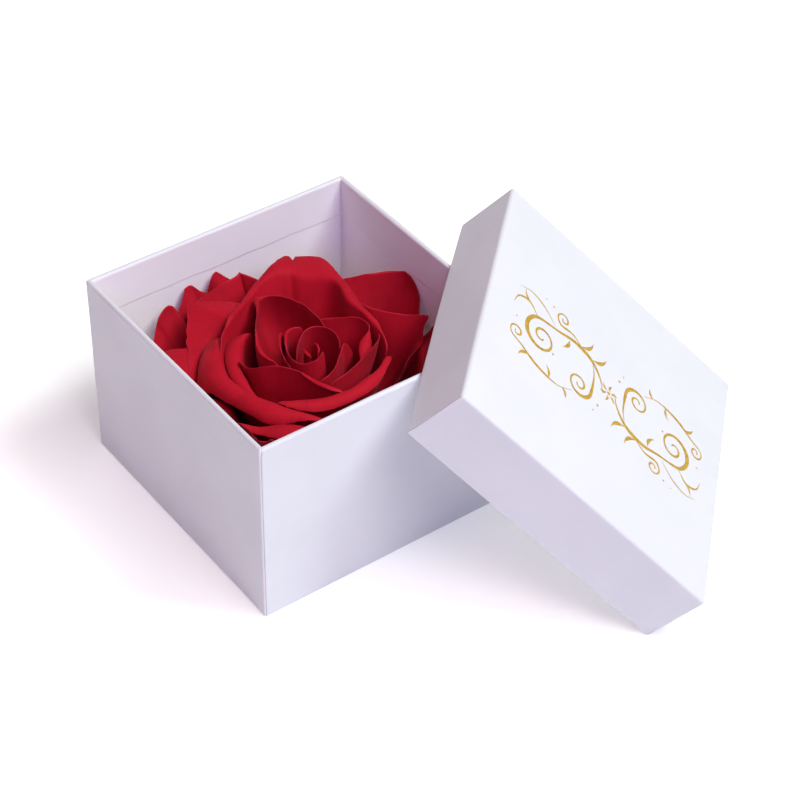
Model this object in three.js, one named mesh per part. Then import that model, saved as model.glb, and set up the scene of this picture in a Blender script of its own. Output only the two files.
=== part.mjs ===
// Preserved rose box: one large red rose head standing in a square white paper box, with the lid leaning on
// the box's corner. Millimetres, +Z up, origin at the middle of the box's underside, sides along X and Y.
import * as THREE from "three";

// Paper box and lid
const boxSide = 100;
const boxHeight = 70;
const lidSide = 105;
const lidHeight = 24;
const board = 1.8;
const cornerRadius = 1.2;
const innerCornerRadius = 0.3;
const foldRadius = 1.1;
const cornerSteps = 4;
const roundSteps = 4;

// Leaning lid: its open side faces the box, one rim edge on the ground and the opposite one on the box's rim
const lidTilt = 42.72;
const lidHeading = -46.4;
const lidFootX = 80;
const lidFootY = -89.1;
const groundClearance = 0.05;

// Rose: its axis, and the rounded receptacle that carries the petals
const roseX = -2;
const roseY = -8;
const stemFoot = board + groundClearance;
const stemRadius = 2.8;
const stemLength = 4;
const neckRadius = 3.4;
const neckLength = 2;
const hipRadius = 7;
const hipCentreHeight = 16;
const hipLowestLatitude = -50;
const hipSteps = 8;
const hipSegments = 16;

// Petals: angles in degrees. The body reaches the crest of the rim at an angle that goes from innerArrival to
// outerArrival with the rim's radius, bends level at a radius that grows with the lip, and turns out into the lip.
const petalThickness = 0.4;
const baseGap = 0.3;
const firstWhorlAngle = 6;
const whorlStep = 6.2;
const flattestLaunch = 10;
const innerRim = 8;
const innerArrival = 92;
const outerRim = 45;
const outerArrival = 60;
const bend = 0.4;
const plainLip = 0.5;
const plainLipTurn = 35;
const leastBend = 0.3;
const tightestBend = 0.4;
const softestBend = 1.6;
const bendPerLip = 0.4;
const bodyRows = 4;
const bendRows = 2;
const lipRows = 2;

// A rim's crest is listed anticlockwise from above as [azimuth in degrees, radius, height, lip length, degrees
// that the lip turns down], the last two only where the lip isn't a plain one. The whorl counts outwards from the
// heart, so of two petals on one side the one in the higher whorl is the outer one.
const petals = {
  heart_petal_1: {
    whorl: 0,
    rim: [[118, 3.1, 56], [160, 2.6, 57.3, 0.8, 50], [222, 2.6, 56.2]],
  },
  heart_petal_2: {
    whorl: 0,
    rim: [[-68, 1.9, 55.6], [5, 1.7, 57.8, 0.5, 40], [70, 2.9, 57]],
  },
  bud_petal_1: {
    whorl: 1,
    arrival: 98,
    rim: [[-42, 8.38, 58], [-24, 8.3, 59.8], [5, 8.2, 60.4], [33, 8.1, 60.5], [58, 7.6, 60.5], [83, 6.1, 60.5],
      [119.6, 4.55, 60.4], [190, 7.1, 58.6]],
  },
  bud_petal_2: {
    whorl: 2,
    rim: [[74, 9.4, 57.4], [84, 10.2, 59.3], [104.53, 10.53, 59.51, 0.55, 55], [165, 8.7, 59], [195.67, 9.11, 58.91],
      [217.59, 8.69, 58.72], [245, 7.2, 58.8], [278, 4.9, 59.6], [286, 4.8, 58.4]],
  },
  bud_petal_3: {
    whorl: 3,
    rim: [[106, 12.4, 57.2], [118, 11.9, 58.9, 0.8, 60], [146, 10.3, 58.4], [176, 10.2, 57.6], [198, 10, 55.2]],
  },
  bud_petal_4: {
    whorl: 3,
    rim: [[-122, 13.56, 54.5], [-114, 14.2, 56.4], [-105, 13.4, 57.2], [-59.54, 9.48, 58.91], [-30, 10.42, 59],
      [-15, 13.2, 51]],
  },
  inner_petal_1: {
    whorl: 4,
    arrival: 99,
    rim: [[24, 9, 56], [33.85, 9.94, 58.98], [42.08, 11.39, 59.79], [62.77, 18.35, 60], [73.73, 23.89, 60],
      [86, 28.2, 60], [91.26, 28.8, 60.01, 0.62, 40], [94.4, 28.4, 59.9, 2, 45], [100, 25.4, 59.8, 0.6, 35],
      [121, 20.1, 59.8], [152.56, 16.87, 59.43, 0.8, 47.5], [168, 15.2, 58.8, 0.7, 50], [180, 12.8, 56]],
  },
  inner_petal_2: {
    whorl: 5,
    rim: [[-48, 14.6, 52], [-27.49, 16.04, 56.31], [-2.15, 20.99, 58.11], [13.02, 20.64, 57.99],
      [43.67, 14.98, 57.87], [54, 16.76, 56]],
  },
  inner_petal_3: {
    whorl: 6,
    rim: [[-110, 16.46, 54.8], [-98, 16.3, 57], [-48.87, 16.23, 57.27], [-19.88, 21.67, 57.33], [-12, 22.04, 56.4],
      [-7, 21.6, 54]],
  },
  inner_petal_4: {
    whorl: 7,
    rim: [[150, 21.68, 53], [161, 23.4, 57.6], [169.43, 21.47, 57.08], [182.09, 14.62, 58.01], [197.27, 12.35, 58],
      [226.74, 13.56, 57.74, 0.84, 36.11], [251, 18.74, 57, 1.3, 50], [260, 19.56, 56, 1, 35], [266, 20.32, 53.5]],
  },
  inner_petal_5: {
    whorl: 8,
    rim: [[114, 22.8, 54], [119, 23.2, 55.8, 0.6, 35], [124, 24, 56, 2.6, 50], [131, 24.14, 56, 4, 60],
      [141.98, 24.13, 56, 4.38, 60], [158, 25.14, 56, 3.8, 60], [183.62, 24.97, 54.11, 1.72, 51.48],
      [194.31, 24.83, 52.92], [203, 24.36, 50.5]],
  },
  middle_petal_1: {
    whorl: 9,
    rim: [[-31, 23.5, 52.5], [-24.47, 23.55, 56.2], [-9.85, 23.87, 57.76], [20.91, 24.78, 59.21, 2.49, 34.53],
      [41, 32.4, 60.3, 3.6, 24], [51.47, 36.48, 60.61, 8.2, 16], [60.5, 37.3, 60.6, 9.6, 16],
      [62.8, 37.6, 60.6, 9, 16], [64.1, 37.9, 60.6, 6.4, 18], [65.4, 38.3, 60.6, 8.4, 16], [67, 38.9, 60.6, 7.8, 16],
      [77, 38, 60.4, 2.4, 26], [87.46, 34.58, 60.1, 2.17, 32.5], [112.88, 30.63, 58.5], [137.65, 29.55, 56.98],
      [146, 28.36, 53]],
  },
  middle_petal_2: {
    whorl: 8,
    rim: [[-154, 24.8, 53], [-148.08, 25.45, 55.71, 0.65, 40], [-133.91, 24.02, 56, 3.05, 70.75],
      [-114.08, 22.6, 55.99, 3.99, 75], [-94.65, 23.01, 56.24, 3.9, 75], [-74, 22, 56.4, 3.1, 75],
      [-56.84, 22.48, 56.37, 2.35, 70], [-39.9, 23.4, 55.69, 1.5, 65], [-33, 24.2, 53]],
  },
  middle_petal_3: {
    whorl: 10,
    rim: [[120, 31.6, 50], [125.06, 31.2, 53.1, 2.31, 62.08], [131.33, 30.74, 55.07, 5.31, 80.83],
      [142.29, 31.72, 55.96, 9.18, 89.69], [156, 30.68, 56, 11, 88], [169, 29.8, 56, 8.2, 105],
      [181.22, 29.08, 56, 6.62, 103.7], [206.41, 27.81, 55.93, 6.56, 88.74], [216, 27.78, 55.7, 6.2, 86],
      [234, 28.4, 54.5, 1.6, 60], [246, 30, 51]],
  },
  middle_petal_4: {
    whorl: 10,
    arrival: 67,
    rim: [[-46, 25.4, 46], [-35.4, 27.8, 48], [-15.32, 36.33, 50.13], [-5.74, 42.32, 53.2], [-4.42, 42.63, 53.47],
      [19.61, 31.54, 53.57], [28, 33, 52.4], [33, 34, 50]],
  },
  middle_petal_5: {
    whorl: 10,
    rim: [[-110, 31.2, 50], [-95, 30, 52.4, 0.9, 35], [-77.52, 29.61, 53.02, 1.19, 35], [-60, 29.4, 52, 0.9, 35],
      [-47, 29.6, 49]],
  },
  middle_petal_6: {
    whorl: 11,
    rim: [[92, 34, 52.6], [95, 34, 54.8, 0.6, 18], [97.5, 34, 55.3, 1.8, 14], [104.77, 34.35, 55.76, 7.5, 11],
      [111.9, 35, 55.5, 14.4, 12], [127.2, 36.93, 50.89, 6.19, 14], [136.36, 37.09, 49.99, 3.4, 14.25],
      [150.9, 36.93, 49.21, 1.07, 19.7], [163, 34.64, 44]],
  },
  outer_petal_1: {
    whorl: 11,
    rim: [[-173, 38.2, 43], [-166.96, 36.95, 50.3, 0.76, 41.3], [-145.28, 33.97, 52.62, 3.54, 51.85],
      [-132, 32.6, 53.3, 6, 52], [-122.58, 32.96, 52.73, 5.59, 48.89], [-111, 35.16, 48]],
  },
  outer_petal_2: {
    whorl: 11,
    rim: [[-62, 33, 46.6], [-52.64, 34.14, 49.03, 1.67, 29.72], [-45.43, 34.87, 49.71, 4.33, 25.28],
      [-35.42, 35.68, 50, 6.39, 22.17], [-26.3, 36.46, 49.88, 7.34, 20.31], [-18, 37.3, 49.4, 7.8, 18],
      [-11, 38.76, 48.7, 6.8, 12], [-4.8, 45.2, 48.3], [-3.4, 46, 46]],
  },
  outer_petal_3: {
    whorl: 11,
    arrival: 72,
    rim: [[5.6, 45.6, 41], [15.25, 51.22, 53.74], [20.3, 52.7, 55.1], [24.16, 50.13, 55.02], [42.03, 40.76, 54.39],
      [46.8, 40.47, 52.53], [52, 42, 48]],
  },
  outer_petal_4: {
    whorl: 12,
    rim: [[124, 42.4, 46], [130.4, 42.48, 49.4, 1, 35], [131.4, 42.28, 49.6, 7.6, 34],
      [142.53, 41.09, 49.36, 8, 27.57], [154, 42.64, 48.6, 8, 24], [162.03, 39.36, 48.16, 9.11, 24],
      [174.28, 33.14, 47.69, 11.84, 24], [182, 33.2, 46, 8, 26], [182.95, 33.37, 45.46, 6.75, 27.41],
      [184.66, 33.78, 44.15, 1.28, 33.59], [185.5, 34, 43.5]],
  },
  outer_petal_5: {
    whorl: 12,
    rim: [[74, 43.6, 51], [80.2, 44.8, 54], [84.4, 50.3, 54.3], [90.92, 49.02, 53.88], [105.1, 49.93, 51.64],
      [110, 50, 47.6]],
  },
  outer_petal_6: {
    whorl: 12,
    rim: [[-124, 37.4, 46], [-110, 37.24, 49.6, 0.9, 35], [-95, 36.5, 50.4, 1.2, 35], [-80, 35.5, 50, 0.9, 35],
      [-67, 35.12, 46]],
  },
  outer_petal_7: {
    whorl: 13,
    rim: [[-76, 37.6, 46], [-63.18, 39.05, 50.23, 0.88, 35], [-51.14, 40.62, 51.96, 1.15, 35], [-40.91, 43.35, 50.83],
      [-33, 45.4, 46]],
  },
  outer_petal_8: {
    whorl: 12,
    rim: [[44, 51.5, 44], [50.16, 52.36, 48.25, 0.87, 35], [56.35, 52.27, 49.68, 0.9, 35],
      [61.64, 51.77, 49.02, 0.82, 35], [69, 50.4, 45]],
  },
  guard_petal_1: {
    whorl: 13,
    rim: [[108.6, 50.68, 42], [110.63, 52.07, 47.92], [111.9, 54.24, 50.6], [116.75, 57.36, 48.96],
      [121.02, 57.32, 43.49], [129, 55.6, 39]],
  },
  guard_petal_2: {
    whorl: 14,
    rim: [[97, 52.8, 48], [99.6, 53.4, 50.8], [101.17, 55.56, 53.19], [103, 56.2, 53.2], [110, 56.36, 46]],
  },
  guard_petal_3: {
    whorl: 14,
    rim: [[84, 53.4, 46], [87.2, 52.83, 50.76], [91.41, 53.91, 55.03], [93.63, 54.11, 53.69], [96.4, 54.2, 46]],
  },
  guard_petal_4: {
    whorl: 12,
    rim: [[-167, 39.8, 46], [-160.6, 38.84, 53.4], [-158.4, 39.84, 54.2], [-156.6, 39, 53.2], [-154, 40.2, 54.6],
      [-151.4, 39.8, 52.8], [-148.39, 41.94, 54.95], [-145.6, 40.4, 53.2], [-143.4, 40.6, 54.8], [-141.4, 39.6, 54],
      [-130, 41.4, 46]],
  },
  guard_petal_5: {
    whorl: 13,
    rim: [[168, 46.4, 37], [174, 45.65, 40.6], [182.99, 45.12, 41.57, 0.86, 35], [190, 44.6, 41.6], [198, 43.6, 38]],
  },
  guard_petal_6: {
    whorl: 14,
    rim: [[-58, 44, 42], [-49.63, 47.05, 46.43, 0.84, 35], [-43.95, 48.86, 47.78, 0.9, 35],
      [-38.19, 50.06, 47.38, 0.88, 35], [-30, 49.4, 43]],
  },
};

const paper = new THREE.MeshStandardMaterial({ color: 0xe8e7f1, roughness: 0.55, metalness: 0 });
const velvet = new THREE.MeshStandardMaterial({ color: 0xae1226, roughness: 0.8, metalness: 0 });
const green = new THREE.MeshStandardMaterial({ color: 0x6d7a45, roughness: 0.8, metalness: 0 });

const radians = THREE.MathUtils.degToRad;

function indexedGeometry(points, triangles) {
  const geometry = new THREE.BufferGeometry().setFromPoints(points);
  geometry.setIndex(triangles);
  geometry.computeVertexNormals();
  return geometry;
}

// Outline of a square with rounded corners, anticlockwise, at one height
function roundedSquare(side, inset, height) {
  const radius = Math.max(cornerRadius - inset, innerCornerRadius);
  const centre = side / 2 - inset - radius;
  const points = [];
  for (let corner = 0; corner < 4; corner++) {
    for (let step = 0; step <= cornerSteps; step++) {
      const angle = (corner + step / cornerSteps) * (Math.PI / 2);
      const sideX = corner === 0 || corner === 3 ? 1 : -1;
      const sideY = corner < 2 ? 1 : -1;
      points.push(new THREE.Vector3(
        sideX * centre + radius * Math.cos(angle),
        sideY * centre + radius * Math.sin(angle),
        height,
      ));
    }
  }
  return points;
}

// Open square tray standing on its closed face: one profile of insets and heights carried round the square
function trayGeometry(side, height) {
  const profile = [];
  for (let step = 0; step <= roundSteps; step++) {
    const angle = (step / roundSteps) * (Math.PI / 2);
    profile.push([foldRadius * (1 - Math.sin(angle)), foldRadius * (1 - Math.cos(angle))]);
  }
  const rimRadius = board / 2;
  for (let step = 0; step <= 2 * roundSteps; step++) {
    const angle = (step / (2 * roundSteps)) * Math.PI;
    profile.push([rimRadius * (1 - Math.cos(angle)), height - rimRadius * (1 - Math.sin(angle))]);
  }
  profile.push([board, board]);

  const points = [new THREE.Vector3(0, 0, 0)];
  const triangles = [];
  const around = 4 * (cornerSteps + 1);
  profile.forEach(([inset, level]) => points.push(...roundedSquare(side, inset, level)));
  const top = points.push(new THREE.Vector3(0, 0, board)) - 1;
  const lastRing = 1 + (profile.length - 1) * around;
  for (let i = 0; i < around; i++) {
    const next = (i + 1) % around;
    triangles.push(0, 1 + next, 1 + i);
    for (let ring = 0; ring < profile.length - 1; ring++) {
      const low = 1 + ring * around;
      const high = low + around;
      triangles.push(low + i, low + next, high + next, low + i, high + next, high + i);
    }
    triangles.push(lastRing + i, lastRing + next, top);
  }
  return indexedGeometry(points, triangles);
}

// Rounded receptacle with the short cut stem under it
function receptacleGeometry() {
  const profile = [
    new THREE.Vector2(0, stemFoot),
    new THREE.Vector2(stemRadius, stemFoot),
    new THREE.Vector2(stemRadius, stemFoot + stemLength),
    new THREE.Vector2(neckRadius, stemFoot + stemLength + neckLength),
  ];
  for (let step = 0; step < hipSteps; step++) {
    const angle = radians(THREE.MathUtils.lerp(hipLowestLatitude, 90, step / hipSteps));
    const height = hipCentreHeight + hipRadius * Math.sin(angle);
    profile.push(new THREE.Vector2(hipRadius * Math.cos(angle), height));
  }
  profile.push(new THREE.Vector2(0, hipCentreHeight + hipRadius));
  return new THREE.LatheGeometry(profile, hipSegments).rotateX(Math.PI / 2);
}

// Half-plane line of a petal from the receptacle, over the crest of its rim and along the turned-out lip
function petalLine(whorl, arrival, radius, height, lip, turnDegrees) {
  const seat = radians(firstWhorlAngle + whorlStep * whorl);
  const launch = radians(Math.max(90 - THREE.MathUtils.radToDeg(seat), flattestLaunch));
  const spread = THREE.MathUtils.clamp((radius - innerRim) / (outerRim - innerRim), 0, 1);
  const arrive = radians(arrival ?? THREE.MathUtils.lerp(innerArrival, outerArrival, spread));
  const turn = radians(turnDegrees);
  const outer = lip / turn;
  const inner = Math.min(outer, THREE.MathUtils.clamp(leastBend + bendPerLip * lip, tightestBend, softestBend));
  const start = new THREE.Vector2(Math.sin(seat), Math.cos(seat)).multiplyScalar(hipRadius + baseGap);
  start.y += hipCentreHeight;
  const end = new THREE.Vector2(radius - inner * Math.sin(arrive), height - inner * (1 - Math.cos(arrive)));
  const reach = bend * start.distanceTo(end);
  const body = new THREE.CubicBezierCurve(
    start,
    new THREE.Vector2(start.x + reach * Math.cos(launch), start.y + reach * Math.sin(launch)),
    new THREE.Vector2(end.x - reach * Math.cos(arrive), end.y - reach * Math.sin(arrive)),
    end,
  );
  const line = body.getPoints(bodyRows);
  for (let step = 1; step <= bendRows; step++) {
    const slope = arrive * (1 - step / bendRows);
    line.push(new THREE.Vector2(radius - inner * Math.sin(slope), height - inner * (1 - Math.cos(slope))));
  }
  for (let step = 1; step <= lipRows; step++) {
    const slope = (turn * step) / lipRows;
    line.push(new THREE.Vector2(radius + outer * Math.sin(slope), height - outer * (1 - Math.cos(slope))));
  }
  return line;
}

// Thin closed petal: its middle surface is offset half the thickness to each side and sewn along the edge
function petalGeometry({ whorl, arrival, rim }) {
  const rows = bodyRows + bendRows + lipRows + 1;
  const middle = rim.map(([azimuth, radius, height, lip = plainLip, lipTurn = plainLipTurn]) => {
    const heading = radians(azimuth);
    return petalLine(whorl, arrival, radius, height, lip, lipTurn)
      .map(({ x, y }) => new THREE.Vector3(x * Math.cos(heading), x * Math.sin(heading), y));
  });
  const count = rim.length;
  const normals = middle.map((line, i) => line.map((point, j) => {
    const along = middle[Math.min(i + 1, count - 1)][j].clone().sub(middle[Math.max(i - 1, 0)][j]);
    const up = line[Math.min(j + 1, rows - 1)].clone().sub(line[Math.max(j - 1, 0)]);
    return along.cross(up).normalize().multiplyScalar(petalThickness / 2);
  }));
  const points = [1, -1].flatMap((side) => middle.flatMap((line, i) => (
    line.map((point, j) => point.clone().addScaledVector(normals[i][j], side))
  )));
  const half = count * rows;
  const triangles = [];
  const quad = (a, b, c, d) => triangles.push(a, b, c, a, c, d);
  for (let i = 0; i < count - 1; i++) {
    for (let j = 0; j < rows - 1; j++) {
      const a = i * rows + j;
      quad(a, a + rows, a + rows + 1, a + 1);
      quad(half + a, half + a + 1, half + a + rows + 1, half + a + rows);
    }
    const foot = i * rows;
    const edge = foot + rows - 1;
    quad(foot, half + foot, half + foot + rows, foot + rows);
    quad(edge, edge + rows, half + edge + rows, half + edge);
  }
  const last = (count - 1) * rows;
  for (let j = 0; j < rows - 1; j++) {
    quad(j, j + 1, half + j + 1, half + j);
    quad(last + j, half + last + j, half + last + j + 1, last + j + 1);
  }
  return indexedGeometry(points, triangles);
}

function named(name, geometry, material) {
  const mesh = new THREE.Mesh(geometry, material);
  mesh.name = name;
  return mesh;
}

function makeRose() {
  const rose = new THREE.Group();
  rose.position.set(roseX, roseY, 0);
  rose.add(named("receptacle", receptacleGeometry(), green));
  for (const [name, petal] of Object.entries(petals)) {
    rose.add(named(name, petalGeometry(petal), velvet));
  }
  return rose;
}

// The lid is tipped over its lower rim edge, which lies along the placed group's X axis on the ground
function makeLid() {
  const lid = named("lid", trayGeometry(lidSide, lidHeight), paper);
  lid.position.set(0, -lidSide / 2, -lidHeight);
  const tilt = radians(lidTilt);
  const tilted = new THREE.Group();
  tilted.rotation.x = Math.PI + tilt;
  tilted.add(lid);
  const placed = new THREE.Group();
  const rimRadius = board / 2;
  const foot = rimRadius * (1 - Math.sin(tilt) - Math.cos(tilt)) + groundClearance;
  placed.position.set(lidFootX, lidFootY, foot);
  placed.rotation.z = radians(lidHeading + 90);
  placed.add(tilted);
  return placed;
}

const roseBox = new THREE.Group();
roseBox.add(named("box_base", trayGeometry(boxSide, boxHeight), paper));
roseBox.add(makeRose());
roseBox.add(makeLid());

export default roseBox;
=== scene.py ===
"""Preserved rose box: a large red rose head in a square white paper box, with its lid leaning on a corner.

Laid out as an add-on and run as a script. Each operator makes one piece, or one group of like pieces, round
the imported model, which is the frame. Lengths in the tables are millimetres; Blender's own are metres.
"""
import math

import bpy
import numpy as np
from bpy.props import FloatProperty, FloatVectorProperty, IntProperty, PointerProperty
from mathutils import Matrix, Vector


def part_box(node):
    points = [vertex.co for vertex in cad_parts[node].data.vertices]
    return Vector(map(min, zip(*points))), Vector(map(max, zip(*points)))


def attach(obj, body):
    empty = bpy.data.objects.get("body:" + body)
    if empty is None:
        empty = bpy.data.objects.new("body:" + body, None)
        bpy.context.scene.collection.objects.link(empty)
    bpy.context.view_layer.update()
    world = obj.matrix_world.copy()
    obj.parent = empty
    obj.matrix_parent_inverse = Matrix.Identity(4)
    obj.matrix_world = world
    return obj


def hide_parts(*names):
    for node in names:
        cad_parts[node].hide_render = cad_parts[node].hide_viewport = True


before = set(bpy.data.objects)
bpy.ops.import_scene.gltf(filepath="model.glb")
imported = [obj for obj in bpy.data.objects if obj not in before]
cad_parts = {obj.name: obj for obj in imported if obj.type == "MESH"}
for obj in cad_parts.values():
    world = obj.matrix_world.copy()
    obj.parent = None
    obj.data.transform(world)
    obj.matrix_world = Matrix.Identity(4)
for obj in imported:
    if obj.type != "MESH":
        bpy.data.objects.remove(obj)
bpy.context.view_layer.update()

bl_info = {
    "name": "Preserved rose box",
    "version": (1, 0, 0),
    "blender": (4, 5, 0),
    "location": "3D View > Sidebar > Rose box",
    "description": "Makes a preserved rose head in a paper box with a leaning lid",
    "category": "Add Mesh",
}

MM = 0.001

# Box and lid: their corners seen from above, the fillet round the inner floor, and the gap over the ground
CORNER_RADIUS = 0.95
INNER_CORNER_RADIUS = 0.3
FLOOR_FILLET = 0.4
GROUND_CLEARANCE = 0.05
# Rings of a tray: samples round its fold and over its rim, insets and shares of the side on the closed face
# and on the inner floor, and the flat margin inside the fold
FOLD_SAMPLES = 9
RIM_SAMPLES = 17
FACE_SHARES, FACE_INSETS = (0.34, 0.2), (10, 4, 2)
FLOOR_INSETS, FLOOR_SHARES = (3, 4.5, 8, 14), (0.22, 0.36)
FOLD_MARGIN = 0.35
# Rings of its walls: about this far apart outside, this many inside, and closer within CLOSE of the rim and
# of the turned-in paper's cut edge, by drops from the rim's foot and by rises and drops from the cut
RING_STEP = 5
LINING_RINGS = 7
CLOSE = 6
OUTER_DROPS = (4.8, 3.7, 2.8, 2.1, 1.5, 1.0, 0.6, 0.3)
INNER_DROPS = (0.3, 1.0, 2.5, 5, 8)
CUT_RISES, CUT_DROPS = (1.6, 0.5, 0.16, 0.03), (0.03, 0.3, 1.5)
FILLET_MARGINS = (1.5, 0.3)
# Angles round a corner and shares along half a side where a tray has its lines, closer where the paper is
# worked
CORNER_ANGLES = np.radians([0, 11, 22, 31, 36, 39.5, 42, 43.7, 45, 46.3, 48, 50.5, 54, 59, 68, 79])
SIDE_SHARES = np.concatenate([
    [-1, -0.994, -0.985, -0.97, -0.95, -0.925, -0.89], np.linspace(-0.85, 0.85, 21),
    [0.89, 0.925, 0.95, 0.97, 0.985, 0.994]])
FAR_FROM_CORNER = 9.0

# Wrapping paper: its own thickness, the height of the board's slow waves, and the heights between which the
# waves and the creases set in above the fold
PAPER = 0.05
BOARD_WAVES = 0.035
WAVES_START, CREASES_START = (0, 1.5), (0.2, 1.2)
# Seam down each outer corner: its distance from the corner's middle, how far its hook turns aside, its
# width, the drops below the rim between which the hook turns, and the strength of its dark line
SEAM_OFFSET, SEAM_HOOK, SEAM_WIDTH = 0.2, 0.3, 0.15
HOOK_START, HOOK_END = 3.5, 0.5
SEAM_STRENGTH = 0.8
# Little bunches beside each outer corner: distances from the two walls and depth, drop below the rim, and
# reach
BUNCHES = ((0.6, 3.4, 0.14), (3.0, 0.6, 0.1))
BUNCH_DROP = 2.1
BUNCH_REACH = np.array([1.3, 1.3, 0.9])
# Slit in the lining's inner corners, uneven cut of the turned-in edge, and reach of the lid's bow into its
# wall
SLIT_DEPTH, SLIT_WIDTH = 0.4, 0.32
CUT_WAVES, CUT_REACH = 0.1, 1.2
BOW_REACH = 2.5
# Painted highlight down the outer corners: how much lighter the paper is painted there and over which angle
# in radians; and the rings where the closed face, painted lighter on the lid, ends
CORNER_PAINTED_HIGHLIGHT, CORNER_HIGHLIGHT_ANGLE = 0.7, 0.45
FACE_RINGS = (5, 12)

# Rose, as in the solids: its axis, and the rounded receptacle that carries the petals
ROSE_AXIS = (-2.0, -8.0)
STEM_RADIUS = 2.8
STEM_LENGTH = 4.0
STEM_BEVEL = 0.3
STEM_FACETS = 48
NECK_RADIUS = 3.4
NECK_LENGTH = 2.0
HIP_RADIUS = 7.0
HIP_HEIGHT = 16.0
HIP_LOWEST, HIP_HIGHEST = -50.0, 89.0
HIP_STEPS = 24

# Petal lines, as in the solids
BASE_GAP = 0.3
FIRST_WHORL = 6.0
WHORL_STEP = 6.2
FLATTEST_LAUNCH = 10.0
INNER_RIM, INNER_ARRIVAL = 8.0, 92.0
OUTER_RIM, OUTER_ARRIVAL = 45.0, 60.0
BEND = 0.4
FOLD_TURN = math.radians(150)
PLAIN_LIP, PLAIN_TURN = 0.03, 35.0

# Bend inside a petal's crest: its radius grows with the lip up to a limit, which is higher for a flat flare
TIGHTEST_BEND = 0.03
BEND_PER_LIP = 0.42
SOFTEST_BEND = 1.6
FLARE_BEND = 2.4
FLARE_TURN, FLARE_RANGE = math.radians(36), math.radians(18)

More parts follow.
